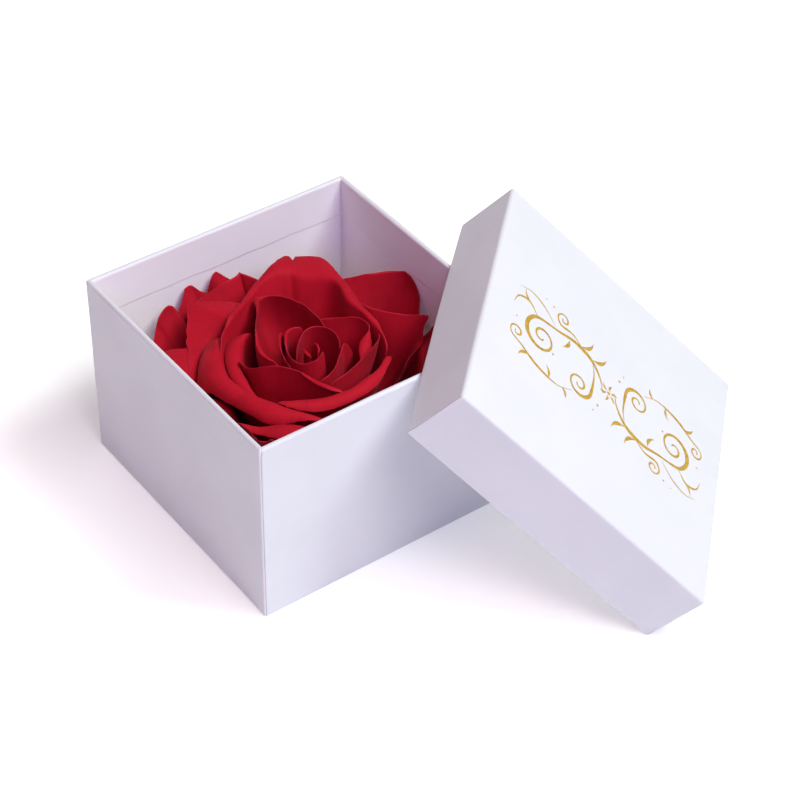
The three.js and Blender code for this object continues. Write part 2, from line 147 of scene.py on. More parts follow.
# Petal rims, anticlockwise from above: [azimuth in degrees, radius, height, lip, turn]. The lip is the
# length past the crest that is turned outwards, by the turn in degrees; below zero it is folded towards the
# heart. The whorl counts outwards, so the higher whorl is the outer one.
PETALS = {
    "heart_petal_1": (0, [
        [118, 3.1, 56], [134, 3.1, 57, 0.5, 45], [160, 2.6, 57.3, 0.8, 50], [195, 2.5, 57.2, 0.8, 50],
        [222, 2.6, 56.2, 0.3]]),
    "heart_petal_2": (0, [
        [292, 1.9, 55.6], [325, 1.6, 57.2, 0.4, 40], [365, 1.7, 57.8, 0.5, 40], [400, 2.4, 58, 0.5, 40],
        [430, 2.9, 57]]),
    "bud_petal_1": (1, [
        [-42, 8.5, 58], [-24, 8.3, 59.8], [5, 8.2, 60.4], [33, 8.1, 60.5], [58, 7.6, 60.5], [83, 6.1, 60.5],
        [101, 5, 60.5], [140, 4.6, 60.2], [165, 5.4, 59.6], [190, 7.1, 58.6]]),
    "bud_petal_2": (2, [
        [74, 9.4, 57.4], [79, 10, 58.8], [84, 10.2, 59.3], [92, 10.5, 59.5, 0.2],
        [101, 10.6, 59.5, 0.5, 50], [108, 10.4, 59.5, 0.6, 60], [116, 9.9, 59.3, 0.7, 60],
        [126, 9.2, 59.1, 0.6, 60], [135, 8.9, 59, 0.4, 50], [150, 8.7, 59], [165, 8.7, 59], [186, 9, 59],
        [205, 9.1, 58.8], [224, 8.4, 58.7], [245, 7.2, 58.8], [262, 5.9, 59.2], [278, 4.9, 59.6],
        [286, 4.8, 58.4]]),
    "bud_petal_3": (3, [
        [106, 12.4, 57.2], [112, 12.3, 58.6, 0.4, 50], [118, 11.9, 58.9, 0.8, 60],
        [126, 11.2, 58.7, 0.9, 60], [134, 10.7, 58.5, 0.6, 50], [146, 10.3, 58.4, 0.3], [160, 10.2, 58.1],
        [176, 10.2, 57.6], [190, 10.2, 56.6], [198, 10, 55.2]]),
    "bud_petal_4": (3, [
        [238, 13.8, 54.5], [246, 14.2, 56.4], [255, 13.4, 57.2], [266, 12, 57.6], [276, 11, 58],
        [291, 9.8, 58.6], [310, 9.4, 59.2], [324, 9.6, 59.6], [330, 10.3, 59], [334, 11.2, 57.4],
        [340, 12.4, 54], [345, 13.2, 51]]),
    "inner_petal_1": (4, [
        [24, 9, 56], [31, 9.6, 58.4], [37, 10.4, 59.4], [47, 12.6, 60], [56, 15.4, 60], [64, 19.7, 60],
        [70, 22, 60], [75, 24.5, 60], [81, 27, 60], [86, 28.2, 60], [90, 28.7, 60],
        [92.4, 28.8, 60, 1.2, 45], [94.4, 28.4, 59.9, 2, 45], [97, 27, 59.8, 1.5, 40],
        [100, 25.4, 59.8, 0.6], [108, 22.8, 59.8], [121, 20.1, 59.8], [135, 18.2, 59.6, 0.3],
        [147, 17.3, 59.5, 0.7, 45], [158, 16.4, 59.3, 0.9, 50], [168, 15.2, 58.8, 0.7, 50],
        [175, 13.8, 57.8, 0.2], [180, 12.8, 56]]),
    "inner_petal_2": (5, [
        [-48, 14.6, 52], [-43, 14.9, 54, -0.4], [-39, 15.2, 54.8, -1.4], [-35, 15.4, 55.4, -2.8],
        [-30, 15.8, 56, -4.4], [-25, 16.3, 56.6, -5.2], [-20, 16.8, 57.1, -5.4], [-16, 17.5, 57.4, -4.6],
        [-12.5, 18.5, 57.7, -3], [-9.5, 19.5, 57.9, -1], [-7, 20.2, 58], [-4, 20.8, 58.1], [0, 21.1, 58.1],
        [9, 21.1, 58], [17, 19.9, 58], [27, 17.1, 58], [40, 15.2, 58], [47, 15, 57.6], [54, 16.4, 56]]),
    "inner_petal_3": (6, [
        [250, 16.7, 54.8], [254, 16.9, 56.3], [262, 16.3, 57], [272, 15.5, 57], [284, 15.2, 57],
        [296, 15.4, 57], [308, 16, 57.2], [317, 16.8, 57.4], [326, 18.4, 57.5], [334, 20.3, 57.5],
        [342, 22, 57.2], [348, 22.4, 56.4], [353, 22.2, 54]]),
    "inner_petal_4": (7, [
        [150, 22.4, 53], [155, 23.2, 56], [158.5, 23.6, 57.4], [161, 23.4, 57.6], [164.5, 22.8, 57.2],
        [168, 22, 57], [174, 19.4, 57.6], [178, 16.8, 58], [184, 14, 58], [194, 12.6, 58], [204, 12.1, 58],
        [214, 12.3, 58], [224, 13, 57.8, 0.8], [240, 15.7, 57.4, 1.3, 50], [251, 18.5, 57, 1.3, 50],
        [260, 20.4, 56, 1], [266, 21.4, 53.5]]),
    "inner_petal_5": (8, [
        [114, 22.8, 54], [119, 23.2, 55.8, 0.6], [124, 24, 56, 2.6, 50], [131, 24.5, 56, 4, 60],
        [140, 24.5, 56, 4.4, 60], [150, 24.5, 56, 4.2, 60], [158, 24.9, 56, 3.8, 60],
        [166, 25.1, 55.6, 3.2, 60], [172, 25.1, 55, 2.6, 60], [180, 25.2, 54.4, 2, 55],
        [189, 25.2, 53.6, 1.2, 45], [196, 25, 52.6], [203, 24.6, 50.5]]),
    "middle_petal_1": (9, [
        [-31, 23.5, 52.5], [-26, 23.6, 55.8], [-12, 23.3, 57.6, 0.4], [1, 23.2, 58.2, 1.3, 35],
        [17, 24.2, 59, 2.4, 35], [31, 27.2, 59.8, 3, 32], [37, 30.2, 60.1, 3.2, 28],
        [41, 32.4, 60.3, 3.6, 24], [44, 34, 60.4, 4.4, 20], [47, 35.4, 60.5, 5.6, 17],
        [50, 36.2, 60.6, 7.4, 16], [53, 36.7, 60.6, 9, 16], [57, 37.1, 60.6, 9.6, 16],
        [60.5, 37.3, 60.6, 9.6, 16], [62.8, 37.6, 60.6, 9, 16], [64.1, 37.9, 60.6, 6.4, 18],
        [65.4, 38.3, 60.6, 8.4, 16], [67, 38.9, 60.6, 7.8, 16], [69.5, 39, 60.6, 5.8, 18],
        [73, 38.8, 60.5, 3.6, 22], [77, 38, 60.4, 2.4, 26], [85, 35.4, 60.2, 2.2, 32],
        [97, 31.9, 59.6, 2, 36], [104, 30.9, 59.1, 1.5, 36], [110, 30.8, 58.7, 0.8], [116, 30.4, 58.3, 0.2],
        [127, 29.9, 57.8], [136, 29.6, 57.2], [142, 29.4, 56], [146, 29.2, 53]]),
    "middle_petal_2": (8, [
        [206, 24.8, 53], [210, 25.4, 55.2, 0.3], [214, 25.4, 56, 1, 45], [219, 25, 56, 1.8, 60],
        [228, 23.8, 56, 3.2, 72], [238, 23, 56, 3.9, 75], [248, 22.5, 56, 4, 75], [261, 22, 56.2, 4, 75],
        [274, 21.9, 56.3, 3.6, 75], [286, 22, 56.4, 3.1, 75], [301, 22.4, 56.4, 2.4, 70],
        [311, 22.8, 56.2, 1.9, 70], [318, 23.2, 56, 1.8, 70], [322, 23.6, 55.2, 1.2, 60], [327, 24.2, 53]]),
    "middle_petal_3": (10, [
        [120, 31.6, 50], [124, 31.3, 52.6, 2, 60], [130, 30.8, 54.8, 5, 80], [137, 30.6, 55.7, 8, 88],
        [144, 30.5, 56, 9.4, 90], [150, 30.4, 56, 10, 90], [156, 30.2, 56, 11, 88],
        [159, 30.1, 56, 10.9, 92], [163, 30, 56, 10, 99], [169, 29.8, 56, 8.2, 105],
        [176, 29.2, 56, 7.2, 105], [185, 28.6, 56, 6.3, 103], [198, 28, 56, 6, 98],
        [208, 27.8, 55.9, 6.6, 88], [216, 27.9, 55.7, 6.2, 86], [222, 27.9, 55.4, 4.4, 84],
        [228, 28, 55, 2.8, 78], [234, 28.4, 54.5, 1.6, 60], [240, 29, 53.4, 0.7, 50], [246, 30, 51]]),
    "middle_petal_4": (10, [
        [-46, 25.4, 46], [-40, 26.6, 47.4], [-35.4, 27.8, 48], [-30, 29.4, 48.6], [-25.4, 31.2, 49.1],
        [-19.3, 34.3, 49.7], [-14.4, 37.2, 50.3], [-10.6, 38.8, 51.5], [-6.6, 41.5, 52.9], [-5, 42.8, 53.4],
        [-3.8, 42.2, 53.5], [-1, 39.6, 53.4], [2, 37.2, 53.3], [11, 33.4, 53.5], [21, 31.5, 53.5],
        [28, 33, 52.4], [33, 34, 50]]),
    "middle_petal_5": (10, [
        [250, 31.2, 50], [265, 30, 52.4, 0.9], [284, 29.6, 53, 1.2], [300, 29.4, 52, 0.9],
        [313, 29.6, 49]]),
    "middle_petal_6": (11, [
        [92, 34, 52.6], [95, 34, 54.8, 0.6, 18], [97.5, 34, 55.3, 1.8, 14], [100, 34, 55.6, 3.8, 12],
        [103, 34.2, 55.7, 6, 11], [106.5, 34.5, 55.8, 9, 11], [109, 34.7, 55.8, 11.6, 11],
        [111, 34.9, 55.7, 14, 11], [111.9, 35, 55.5, 14.4, 12], [113, 35.1, 55.1, 13.6, 13],
        [115, 35.3, 54.3, 12.2, 14], [118, 35.6, 53.3, 10.4, 14], [121, 36, 52.4, 9, 14],
        [126, 36.8, 51.1, 6.4, 14], [134, 37.5, 50.1, 3.6, 14], [145, 37.8, 49.8, 2, 16],
        [152, 38.2, 49, 1, 20], [158, 38.6, 47], [163, 39.2, 44]]),
    "outer_petal_1": (11, [
        [187, 38.2, 43], [189.5, 37.9, 47.2], [192, 37.4, 49.8, 0.6, 40], [195.5, 36.7, 51, 1.2, 45],
        [201, 35.6, 51.8, 2, 48], [208, 34.7, 52.2, 2.8, 50], [216, 33.7, 52.7, 3.6, 52],
        [222, 33, 53.1, 4.8, 52], [228, 32.6, 53.3, 6, 52], [236, 32.8, 53, 5.8, 50], [244, 34.2, 50.6, 3],
        [249, 35.4, 48]]),
    "outer_petal_2": (11, [
        [298, 33, 46.6], [306, 34, 48.8, 1.5, 30], [316, 35, 49.8, 4.5, 25], [326, 35.8, 50, 6.5, 22],
        [336, 36.7, 49.8, 7.5, 20], [342, 37.3, 49.4, 7.8, 18], [346.5, 37.7, 49, 7.6, 14],
        [349, 38.4, 48.7, 6.8, 12], [351, 40.4, 48.7, 4.8, 12], [353, 42.8, 48.7, 2.4, 12],
        [355.2, 45.2, 48.3, 0.2], [356.6, 46, 46]]),
    "outer_petal_3": (11, [
        [5.6, 45.6, 41], [8, 47.2, 45], [10.2, 49.1, 48], [12.4, 50.6, 51], [14.6, 51.8, 53.3],
        [16.6, 52.2, 54.4], [18.6, 52.5, 54.9], [20.3, 52.7, 55.1], [21.2, 52.1, 55.1], [25, 49.6, 55],
        [29.7, 46.9, 55], [35, 43.6, 55], [41, 41, 54.6], [46, 40.4, 53], [52, 42, 48]]),
    "outer_petal_4": (12, [
        [124, 42.4, 46], [128, 42.4, 48.4], [130.4, 42, 49.4, 1], [131.4, 41.8, 49.6, 7.6, 34],
        [138, 41.2, 49.5, 8, 30], [146, 40.6, 49.2, 8, 26], [154, 40, 48.6, 8, 24],
        [161, 38.4, 48.2, 9, 24], [167, 35.6, 48, 10.5, 24], [173, 33.4, 47.8, 12, 24],
        [178, 32.8, 47.2, 11, 24], [182, 33.2, 46, 8, 26], [185.5, 34, 43.5]]),
    "outer_petal_5": (12, [
        [74, 43.6, 51], [78, 44, 53.2], [80.2, 44.8, 54], [82.2, 47.2, 54.2], [83.6, 49, 54.3],
        [84.4, 50.3, 54.3], [85.4, 49.8, 54.2], [88, 49.2, 54], [92, 49, 53.8], [98, 49.2, 53],
        [103, 49.8, 52.2], [107, 50, 50.8], [110, 50, 47.6]]),
    "outer_petal_6": (12, [
        [236, 37.4, 46], [250, 37, 49.6, 0.9], [265, 36.5, 50.4, 1.2], [280, 35.5, 50, 0.9],
        [293, 35.6, 46]]),
    "outer_petal_7": (13, [
        [284, 37.6, 46], [298, 38.6, 50.5, 0.9], [312, 41.4, 52, 1.2], [320, 43.6, 50.5], [327, 45.4, 46]]),
    "outer_petal_8": (12, [
        [44, 51.5, 44], [51, 52.4, 48.6, 0.9], [60, 52, 49.5, 0.9], [69, 50.4, 45]]),
    "guard_petal_1": (13, [
        [108.6, 52, 42], [109.8, 52.8, 45.6], [110.9, 54, 48.6], [111.9, 55.8, 50.6], [112.7, 56.6, 50.8],
        [114, 57, 50.3], [116, 57.3, 49.4], [117.4, 57.4, 48.4], [118.4, 57.5, 46.4], [120.4, 57.4, 44],
        [124, 56.8, 41.6], [129, 55.6, 39]]),
    "guard_petal_2": (14, [
        [97, 52.8, 48], [98.4, 53, 50.2], [99.6, 53.4, 50.8], [100.8, 55, 52.8], [101.6, 56, 53.4],
        [103, 56.2, 53.2], [104.4, 55.8, 52.8], [105.6, 55.3, 51.4], [107, 55, 49.6], [110, 54.8, 46]]),
    "guard_petal_3": (14, [
        [84, 53.4, 46], [86.6, 52.8, 50], [89, 53.2, 52.8], [91, 53.8, 54.7], [91.8, 54, 55.2],
        [92.8, 54.1, 54.8], [94, 54.1, 53], [95, 54.1, 50.4], [96.4, 54.2, 46]]),
    "guard_petal_4": (12, [
        [193, 39.8, 46], [196.5, 39, 50.4], [199.4, 38.6, 53.4], [201.6, 39.6, 54.2], [203.4, 39, 53.2],
        [206, 40.2, 54.6], [208.6, 39.8, 52.8], [210.6, 41.4, 54.8], [212.6, 42.2, 54.8],
        [214.4, 40.4, 53.2], [216.6, 40.6, 54.8], [218.6, 39.6, 54], [221, 39.6, 52.6], [225, 40.4, 50],
        [230, 41.4, 46]]),
    "guard_petal_5": (13, [
        [168, 47, 37], [174, 46.6, 40.6], [182, 45.8, 41.5, 0.9], [190, 44.6, 41.6], [198, 43.6, 38]]),
    "guard_petal_6": (14, [
        [302, 44, 42], [312, 47.6, 47, 0.9], [321, 50, 47.6, 0.9], [330, 49.4, 43]]),
}
# Slope of a petal's body at its rim in degrees, where it isn't the usual one for its radius
ARRIVALS = {"inner_petal_1": 99.0, "bud_petal_1": 98.0, "outer_petal_3": 72.0, "middle_petal_4": 67.0}
# How much a petal ripples, where it isn't 1
RUFFLE = {
    "heart_petal_1": 0.3, "heart_petal_2": 0.3, "bud_petal_1": 0.3, "bud_petal_2": 0.6, "bud_petal_3": 0.5,
    "bud_petal_4": 0.4, "inner_petal_1": 0.4, "inner_petal_2": 0.5, "inner_petal_3": 0.5,
    "inner_petal_4": 0.5, "inner_petal_5": 0.5, "middle_petal_2": 0.6, "middle_petal_3": 0.6,
    "guard_petal_4": 2.2, "middle_petal_6": 0.4,
}

# Petal mesh: spacing of its lines along the rim, lines in a running mean, samples along a line, and rows
COLUMN_STEP = 0.85
EVEN_COLUMNS = 9
LINE_SAMPLES = 40
ROLL_SAMPLES = 8
LIP_SAMPLES = 18
ROWS = 46
ROW_CROWDING = 1.6
# Petal edge: radius of a side corner, gap and easing at the box's walls, share of the thickness at the very
# edge, and the width over which the edge is rounded
CORNER_ROUNDING = 2.5
SHARPEST_CORNER = 0.995
WALL_CLEARANCE = 0.32
WALL_EASING = 1.5
EDGE_SHARE, EDGE_ROUNDING = 0.42, 0.3
SHARP_ANGLE = math.radians(70)
# Petal waves: height of the crest's own, and shares of the ripple along the rim and across the sheet
CREST_WAVES = 0.1
RIM_RIPPLE, RIPPLE_GROWTH = 0.6, 2.2
SHEET_RIPPLE = 0.4
# Where neighbours lean together: from and to which distance from the axis, and between which heights
LEAN_OUT, LEAN_RISE, LEAN_FALL = (5, 20), (20, 38), (42, 55)
# Length in millimetres that one unit of a petal's UV map stands for
UV_LENGTH = 100

# Ornament: its place on the lid's face, how far the foil's middle stands off the paper, distance between
# the points of a stroke, points in the mean that eases its width, length and least share of its rounded
# ends, least half width
ORNAMENT_PLACE = (-1, 1)
FOIL_RAISED = 0.01
STROKE_STEP = 0.35
WIDTH_POINTS = 9
END_LENGTH, END_SHARE = 0.5, 0.03
LEAST_WIDTH = 0.05
LEAF_BEND = 0.16
# Power by which a volute draws in
VOLUTE_EASE = 1.15

# Lamps: direction, distance and side of each in metres, and its radiance
LAMPS = {
    "key": ((0.38, -0.345, 0.86), 1.6, 0.5, (17.1, 18.7, 17.9)),
    "front": ((0.0, -0.55, 0.83), 1.6, 0.8, (6.4, 6.0, 6.1)),
    "back": ((0.0, 0.9, 0.45), 1.6, 1.6, (0.62, 0.62, 0.72)),
    "camera_side": ((-0.5, -0.6, 0.6), 1.6, 0.8, (0.8, 0.4, 2.1)),
    "left": ((-0.6, 0.1, 0.8), 1.6, 0.8, (1.7, 0.7, 0.4)),
}
WORLD_LIGHT = 0.02

# Camera: focal length and sensor in millimetres, place in metres and turn in degrees
CAMERA_LENS, CAMERA_SENSOR = 105.74, 36
CAMERA_PLACE = (-0.323629, -0.481334, 0.530892)
CAMERA_TURN = (49.1596, -0.7402, -36.3204)
CAMERA_NEAR, CAMERA_FAR = 0.01, 50


def box_side():
    """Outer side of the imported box, in metres."""
    low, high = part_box("box_base")
    return high[0] - low[0]


def box_height():
    """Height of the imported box, in metres."""
    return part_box("box_base")[1][2]


# Settings

class PaperSettings(bpy.types.PropertyGroup):
    """Sizes and colour of the box and its lid."""
    box_side: FloatProperty(
        name="Box side", description="Outer side of the square box", default=box_side(), unit="LENGTH")
    box_height: FloatProperty(
        name="Box height", description="Height of the box to its rim", default=box_height(), unit="LENGTH")
    lid_side: FloatProperty(
        name="Lid side", description="Outer side of the square lid", default=105 * MM, unit="LENGTH")
    lid_height: FloatProperty(
        name="Lid height", description="Depth of the lid over its rim", default=24 * MM, unit="LENGTH")
    board: FloatProperty(
        name="Board", description="Thickness of the wrapped board", default=1.8 * MM, unit="LENGTH")
    box_fold: FloatProperty(
        name="Fold radius", description="Radius of the fold round the closed face", default=1.1 * MM,
        unit="LENGTH")
    turned_in: FloatProperty(
        name="Turned-in paper", description="How far the wrapping paper reaches down inside the walls",
        default=14.8 * MM, unit="LENGTH")
    lid_tilt: FloatProperty(
        name="Lid tilt", description="Angle between the lid's face and the ground",
        default=math.radians(42.72), unit="ROTATION")
    lid_heading: FloatProperty(
        name="Lid heading", description="Direction that the lid's face looks in, seen from above",
        default=math.radians(-46.4), unit="ROTATION")
    lid_foot: FloatVectorProperty(
        name="Lid foot", description="Middle of the rim edge that the lid stands on",
        default=(80 * MM, -89.1 * MM), size=2, unit="LENGTH")
    colour: FloatVectorProperty(
        name="Paper", description="Colour of the wrapping paper", default=(0.665, 0.684, 0.725), size=3,
        subtype="COLOR", min=0, max=1)
    # Painted light: the paper takes this lighter colour inside the walls and over the rim's crest, where it
    # is lit, and partly on the lid's face and down the outer corners
    lit_paper_colour: FloatVectorProperty(
        name="Inner paper", description="Colour of the cleaner paper inside the walls",
        default=(0.97, 0.955, 0.99), size=3, subtype="COLOR", min=0, max=1)
    seam_colour: FloatVectorProperty(
        name="Wrap seam", description="Colour in the seam of the paper down each outer corner",
        default=(0.26, 0.29, 0.36), size=3, subtype="COLOR", min=0, max=1)
    clouds: FloatProperty(
        name="Clouds", description="How much darker the paper's faint clouds are", default=0.03, min=0, max=1)


class RoseSettings(bpy.types.PropertyGroup):
    """Sizes and colours of the rose."""
    base_thickness: FloatProperty(
        name="Petal foot", description="Thickness of a petal where it grows from the receptacle",
        default=0.42 * MM, unit="LENGTH")
    rim_thickness: FloatProperty(
        name="Petal rim", description="Thickness of a petal near its free edge", default=0.3 * MM,
        unit="LENGTH")
    ripple: FloatProperty(
        name="Ripple", description="Height of the soft waves of a petal near its rim", default=0.34 * MM,
        unit="LENGTH")
    drift: FloatProperty(
        name="Drift", description="How far neighbouring petals lean together", default=0.5 * MM,
        unit="LENGTH")
    seed: IntProperty(name="Seed", description="Start of the petals' random draws", default=7, min=0)
    petal: FloatVectorProperty(
        name="Petal", description="Main colour of the petals", default=(0.41, 0.0035, 0.0165), size=3,
        subtype="COLOR", min=0, max=1)
    petal_deep: FloatVectorProperty(
        name="Petal, deep", description="Darker red of veins and clouds", default=(0.225, 0.0015, 0.0082),
        size=3, subtype="COLOR", min=0, max=1)
    # Painted highlight: this paler red is painted along the petals' rims
    petal_rim_highlight: FloatVectorProperty(
        name="Petal edge", description="Paler red of the worn edges", default=(0.5, 0.02, 0.05), size=3,
        subtype="COLOR", min=0, max=1)
    green: FloatVectorProperty(
        name="Receptacle", description="Colour of the dried stem and receptacle", default=(0.15, 0.19, 0.06),
        size=3, subtype="COLOR", min=0, max=1)


class FoilSettings(bpy.types.PropertyGroup):
    """Size and colour of the foil ornament on the lid."""
    stroke: FloatProperty(
        name="Stroke", description="Scale of the widths of the ornament's strokes", default=1.0,
        min=0.2, max=3)
    thickness: FloatProperty(
        name="Foil", description="Thickness of the foil on the paper", default=0.04 * MM, unit="LENGTH")
    facets: IntProperty(
        name="Facets", description="Corners of a stroke's cross-section", default=10, min=4, max=32)
    colour: FloatVectorProperty(
        name="Foil colour", description="Colour of the metal foil", default=(0.73, 0.465, 0.07), size=3,
        subtype="COLOR", min=0, max=1)


class StageSettings(bpy.types.PropertyGroup):
    """Floor, light and camera."""
    floor_side: FloatProperty(
        name="Floor", description="Side of the square floor", default=8.0, unit="LENGTH")
    floor_colour: FloatVectorProperty(
        name="Floor colour", description="Colour of the pale floor", default=(0.93, 0.93, 0.93), size=3,
        subtype="COLOR", min=0, max=1)
    floor_glow: FloatVectorProperty(
        name="Floor glow", description="Light that the lit table gives off by itself",
        default=(0.25, 0.28, 0.25), size=3, min=0)
    light: FloatProperty(
        name="Light", description="Brightness of all the lamps together", default=1.08, min=0)


# Meshes

def new_object(name, data):
    """Object in the scene with a mesh, a lamp or a camera."""
    made = bpy.data.objects.new(name, data)
    bpy.context.collection.objects.link(made)
    return made


def add_measures(mesh, measures):
    """Stores named numbers, one for each point of a mesh."""
    for title, values in measures.items():
        attribute = mesh.attributes.new(title, "FLOAT", "POINT")
        attribute.data.foreach_set("value", np.asarray(values, dtype=np.float32))


def piece_from_arrays(name, points, faces, material, measures, uv=None):
    """Mesh object from an array of points in metres and a list of arrays of faces; faces end up outwards."""
    corners = [np.asarray(f, dtype=np.int64) for f in faces if len(f)]
    if signed_volume(points, corners) < 0:
        corners = [f[:, ::-1] for f in corners]
    loops = np.concatenate([f.ravel() for f in corners])
    sizes = np.concatenate([np.full(len(f), f.shape[1]) for f in corners])
    starts = np.concatenate([[0], np.cumsum(sizes)[:-1]])
    mesh = bpy.data.meshes.new(name)
    mesh.vertices.add(len(points))
    mesh.vertices.foreach_set("co", np.asarray(points, dtype=np.float32).ravel())
    mesh.loops.add(len(loops))
    mesh.loops.foreach_set("vertex_index", loops.astype(np.int32))
    mesh.polygons.add(len(sizes))
    mesh.polygons.foreach_set("loop_start", starts.astype(np.int32))
    if uv is not None:
        layer = mesh.uv_layers.new(name="UVMap")
        layer.uv.foreach_set("vector", np.asarray(uv, dtype=np.float32)[loops].ravel())
    add_measures(mesh, measures)
    mesh.update(calc_edges=True)
    mesh.validate()
    mesh.shade_smooth()
    mesh.materials.append(material)
    return new_object(name, mesh)


def signed_volume(points, faces):
    """Volume of a closed mesh, below zero where its faces point inwards."""
    total = 0.0
    for corners in faces:
        for k in range(1, corners.shape[1] - 1):
            a, b, c = (points[corners[:, i]] for i in (0, k, k + 1))
            total += float(np.einsum("ij,ij->i", a, np.cross(b, c)).sum())
    return total / 6


def hand_over(piece, slot, *nodes):
    """Hangs a finished piece on the root body and hides the solids that it stands for; the slot is not used.
    """
    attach(piece, "root")
    if nodes:
        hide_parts(*nodes)


def soft_waves(rng, shortest, longest, count):
    """A smooth random function of position in millimetres, of about unit height."""
    directions = rng.normal(size=(count, 3))
    directions /= np.linalg.norm(directions, axis=1)[:, None]
    numbers = 2 * math.pi / rng.uniform(shortest, longest, count)
    phases = rng.uniform(0, 2 * math.pi, count)
    scale = math.sqrt(2 / count)

    def value(points):
        return scale * np.sin(points @ (directions * numbers[:, None]).T + phases).sum(axis=-1)
    return value


def line_waves(rng, shortest, longest, count):
    """A smooth random function of one length in millimetres, of about unit height."""
    numbers = 2 * math.pi / rng.uniform(shortest, longest, count)
    phases = rng.uniform(0, 2 * math.pi, count)
    scale = math.sqrt(2 / count)

    def value(length):
        return scale * np.sin(np.asarray(length)[..., None] * numbers + phases).sum(axis=-1)
    return value


def smooth_step(value, low, high):
    """Eased rise from 0 at low to 1 at high."""
    share = np.clip((value - low) / (high - low), 0, 1)
    return share * share * (3 - 2 * share)


def running_mean(values, weights):
    """Weighted mean of each value with its neighbours; the end values are carried on."""
    padded = np.pad(values, len(weights) // 2, mode="edge")
    return np.convolve(padded, weights / weights.sum(), mode="valid")


def path_lengths(points):
    """Length along a path, or along each of several, up to its points."""
    steps = np.linalg.norm(np.diff(points, axis=-2), axis=-1)
    return np.concatenate([np.zeros((*steps.shape[:-1], 1)), np.cumsum(steps, axis=-1)], axis=-1)


def ring_quads(rings, count):
    """Quads between closed rings of points, from one point to the next and over to the ring that follows."""
    ring, spot = np.meshgrid(np.arange(rings - 1), np.arange(count), indexing="ij")
    a = (ring * count + spot).ravel()
    b = (ring * count + (spot + 1) % count).ravel()
    return np.stack([a, b, b + count, a + count], axis=1)


# Box and lid

def tray_profile(side, height, fold, board, turned_in):
    """Insets and heights of a tray's rings, from the closed face over the rim to the inner floor."""
    rim = board / 2
    flat = fold + FOLD_MARGIN
    outside = [[inset, 0] for inset in (*(side * share for share in FACE_SHARES), *FACE_INSETS, flat)]
    turn = np.linspace(0, math.pi / 2, FOLD_SAMPLES)
    outside += [[fold * (1 - math.sin(a)), fold * (1 - math.cos(a))] for a in turn]
    last = height - rim
    outside += [[0, level] for level in np.linspace(flat, last - CLOSE, max(3, round(height / RING_STEP)))]
    outside += [[0, last - drop] for drop in OUTER_DROPS]
    over = np.linspace(0, math.pi, RIM_SAMPLES)
    crest = [[rim * (1 - math.cos(a)), height - rim * (1 - math.sin(a))] for a in over]
    seam = height - turned_in
    lining = board - PAPER
    inside = [[board, last - drop] for drop in INNER_DROPS]
    inside += [[board, seam + rise] for rise in CUT_RISES]
    inside += [[lining, seam - drop] for drop in CUT_DROPS]
    low = board + FLOOR_FILLET
    if seam - CUT_DROPS[-1] > low + CLOSE:
        levels = np.linspace(seam - CLOSE, low + FILLET_MARGINS[0], LINING_RINGS)
        inside += [[lining, level] for level in levels]
    inside += [[lining, low + FILLET_MARGINS[1]]]
    inside += [[lining + FLOOR_FILLET * (1 - math.cos(a)), low - FLOOR_FILLET * math.sin(a)]
               for a in turn[::2]]
    inside += [[inset, board] for inset in (*FLOOR_INSETS, *(side * share for share in FLOOR_SHARES))]
    return np.array(outside + crest + inside), len(outside), len(outside) + len(crest)


def tray_grid(profile, side):
    """Rings of a profile round a square with round corners, and each line's angle from its corner."""
    spots = []
    for corner in range(4):
        sign = (1 if corner in (0, 3) else -1, 1 if corner < 2 else -1)
        for angle in CORNER_ANGLES:
            turn = corner * math.pi / 2 + angle
            spots.append((*sign, math.cos(turn), math.sin(turn), angle - math.pi / 4))
        turn = (corner + 1) * math.pi / 2
        outward = np.round([math.cos(turn), math.sin(turn)])
        sideways = np.array([-outward[1], outward[0]])
        for share in SIDE_SHARES:
            spots.append((*(share * sideways + outward), *outward, FAR_FROM_CORNER))
    spots = np.array(spots)
    radius = np.maximum(CORNER_RADIUS - profile[:, 0], INNER_CORNER_RADIUS)[:, None, None]
    centre = side / 2 - profile[:, :1, None] - radius
    plan = spots[:, :2] * centre + spots[:, 2:4] * radius
    levels = np.broadcast_to(profile[:, 1, None, None], (*plan.shape[:2], 1))
    return np.concatenate([plan, levels], axis=2), spots[:, 4]


def tray_faces(rows, count):
    """Quads between a tray's rings, and the fans round its two middles, which are the last points."""
    i = np.arange(count)
    j = (i + 1) % count
    under = np.full(count, rows * count)
    last = (rows - 1) * count
    fans = np.vstack([np.stack([under, j, i], axis=1), np.stack([last + i, last + j, under + 1], axis=1)])
    return [ring_quads(rows, count), fans]


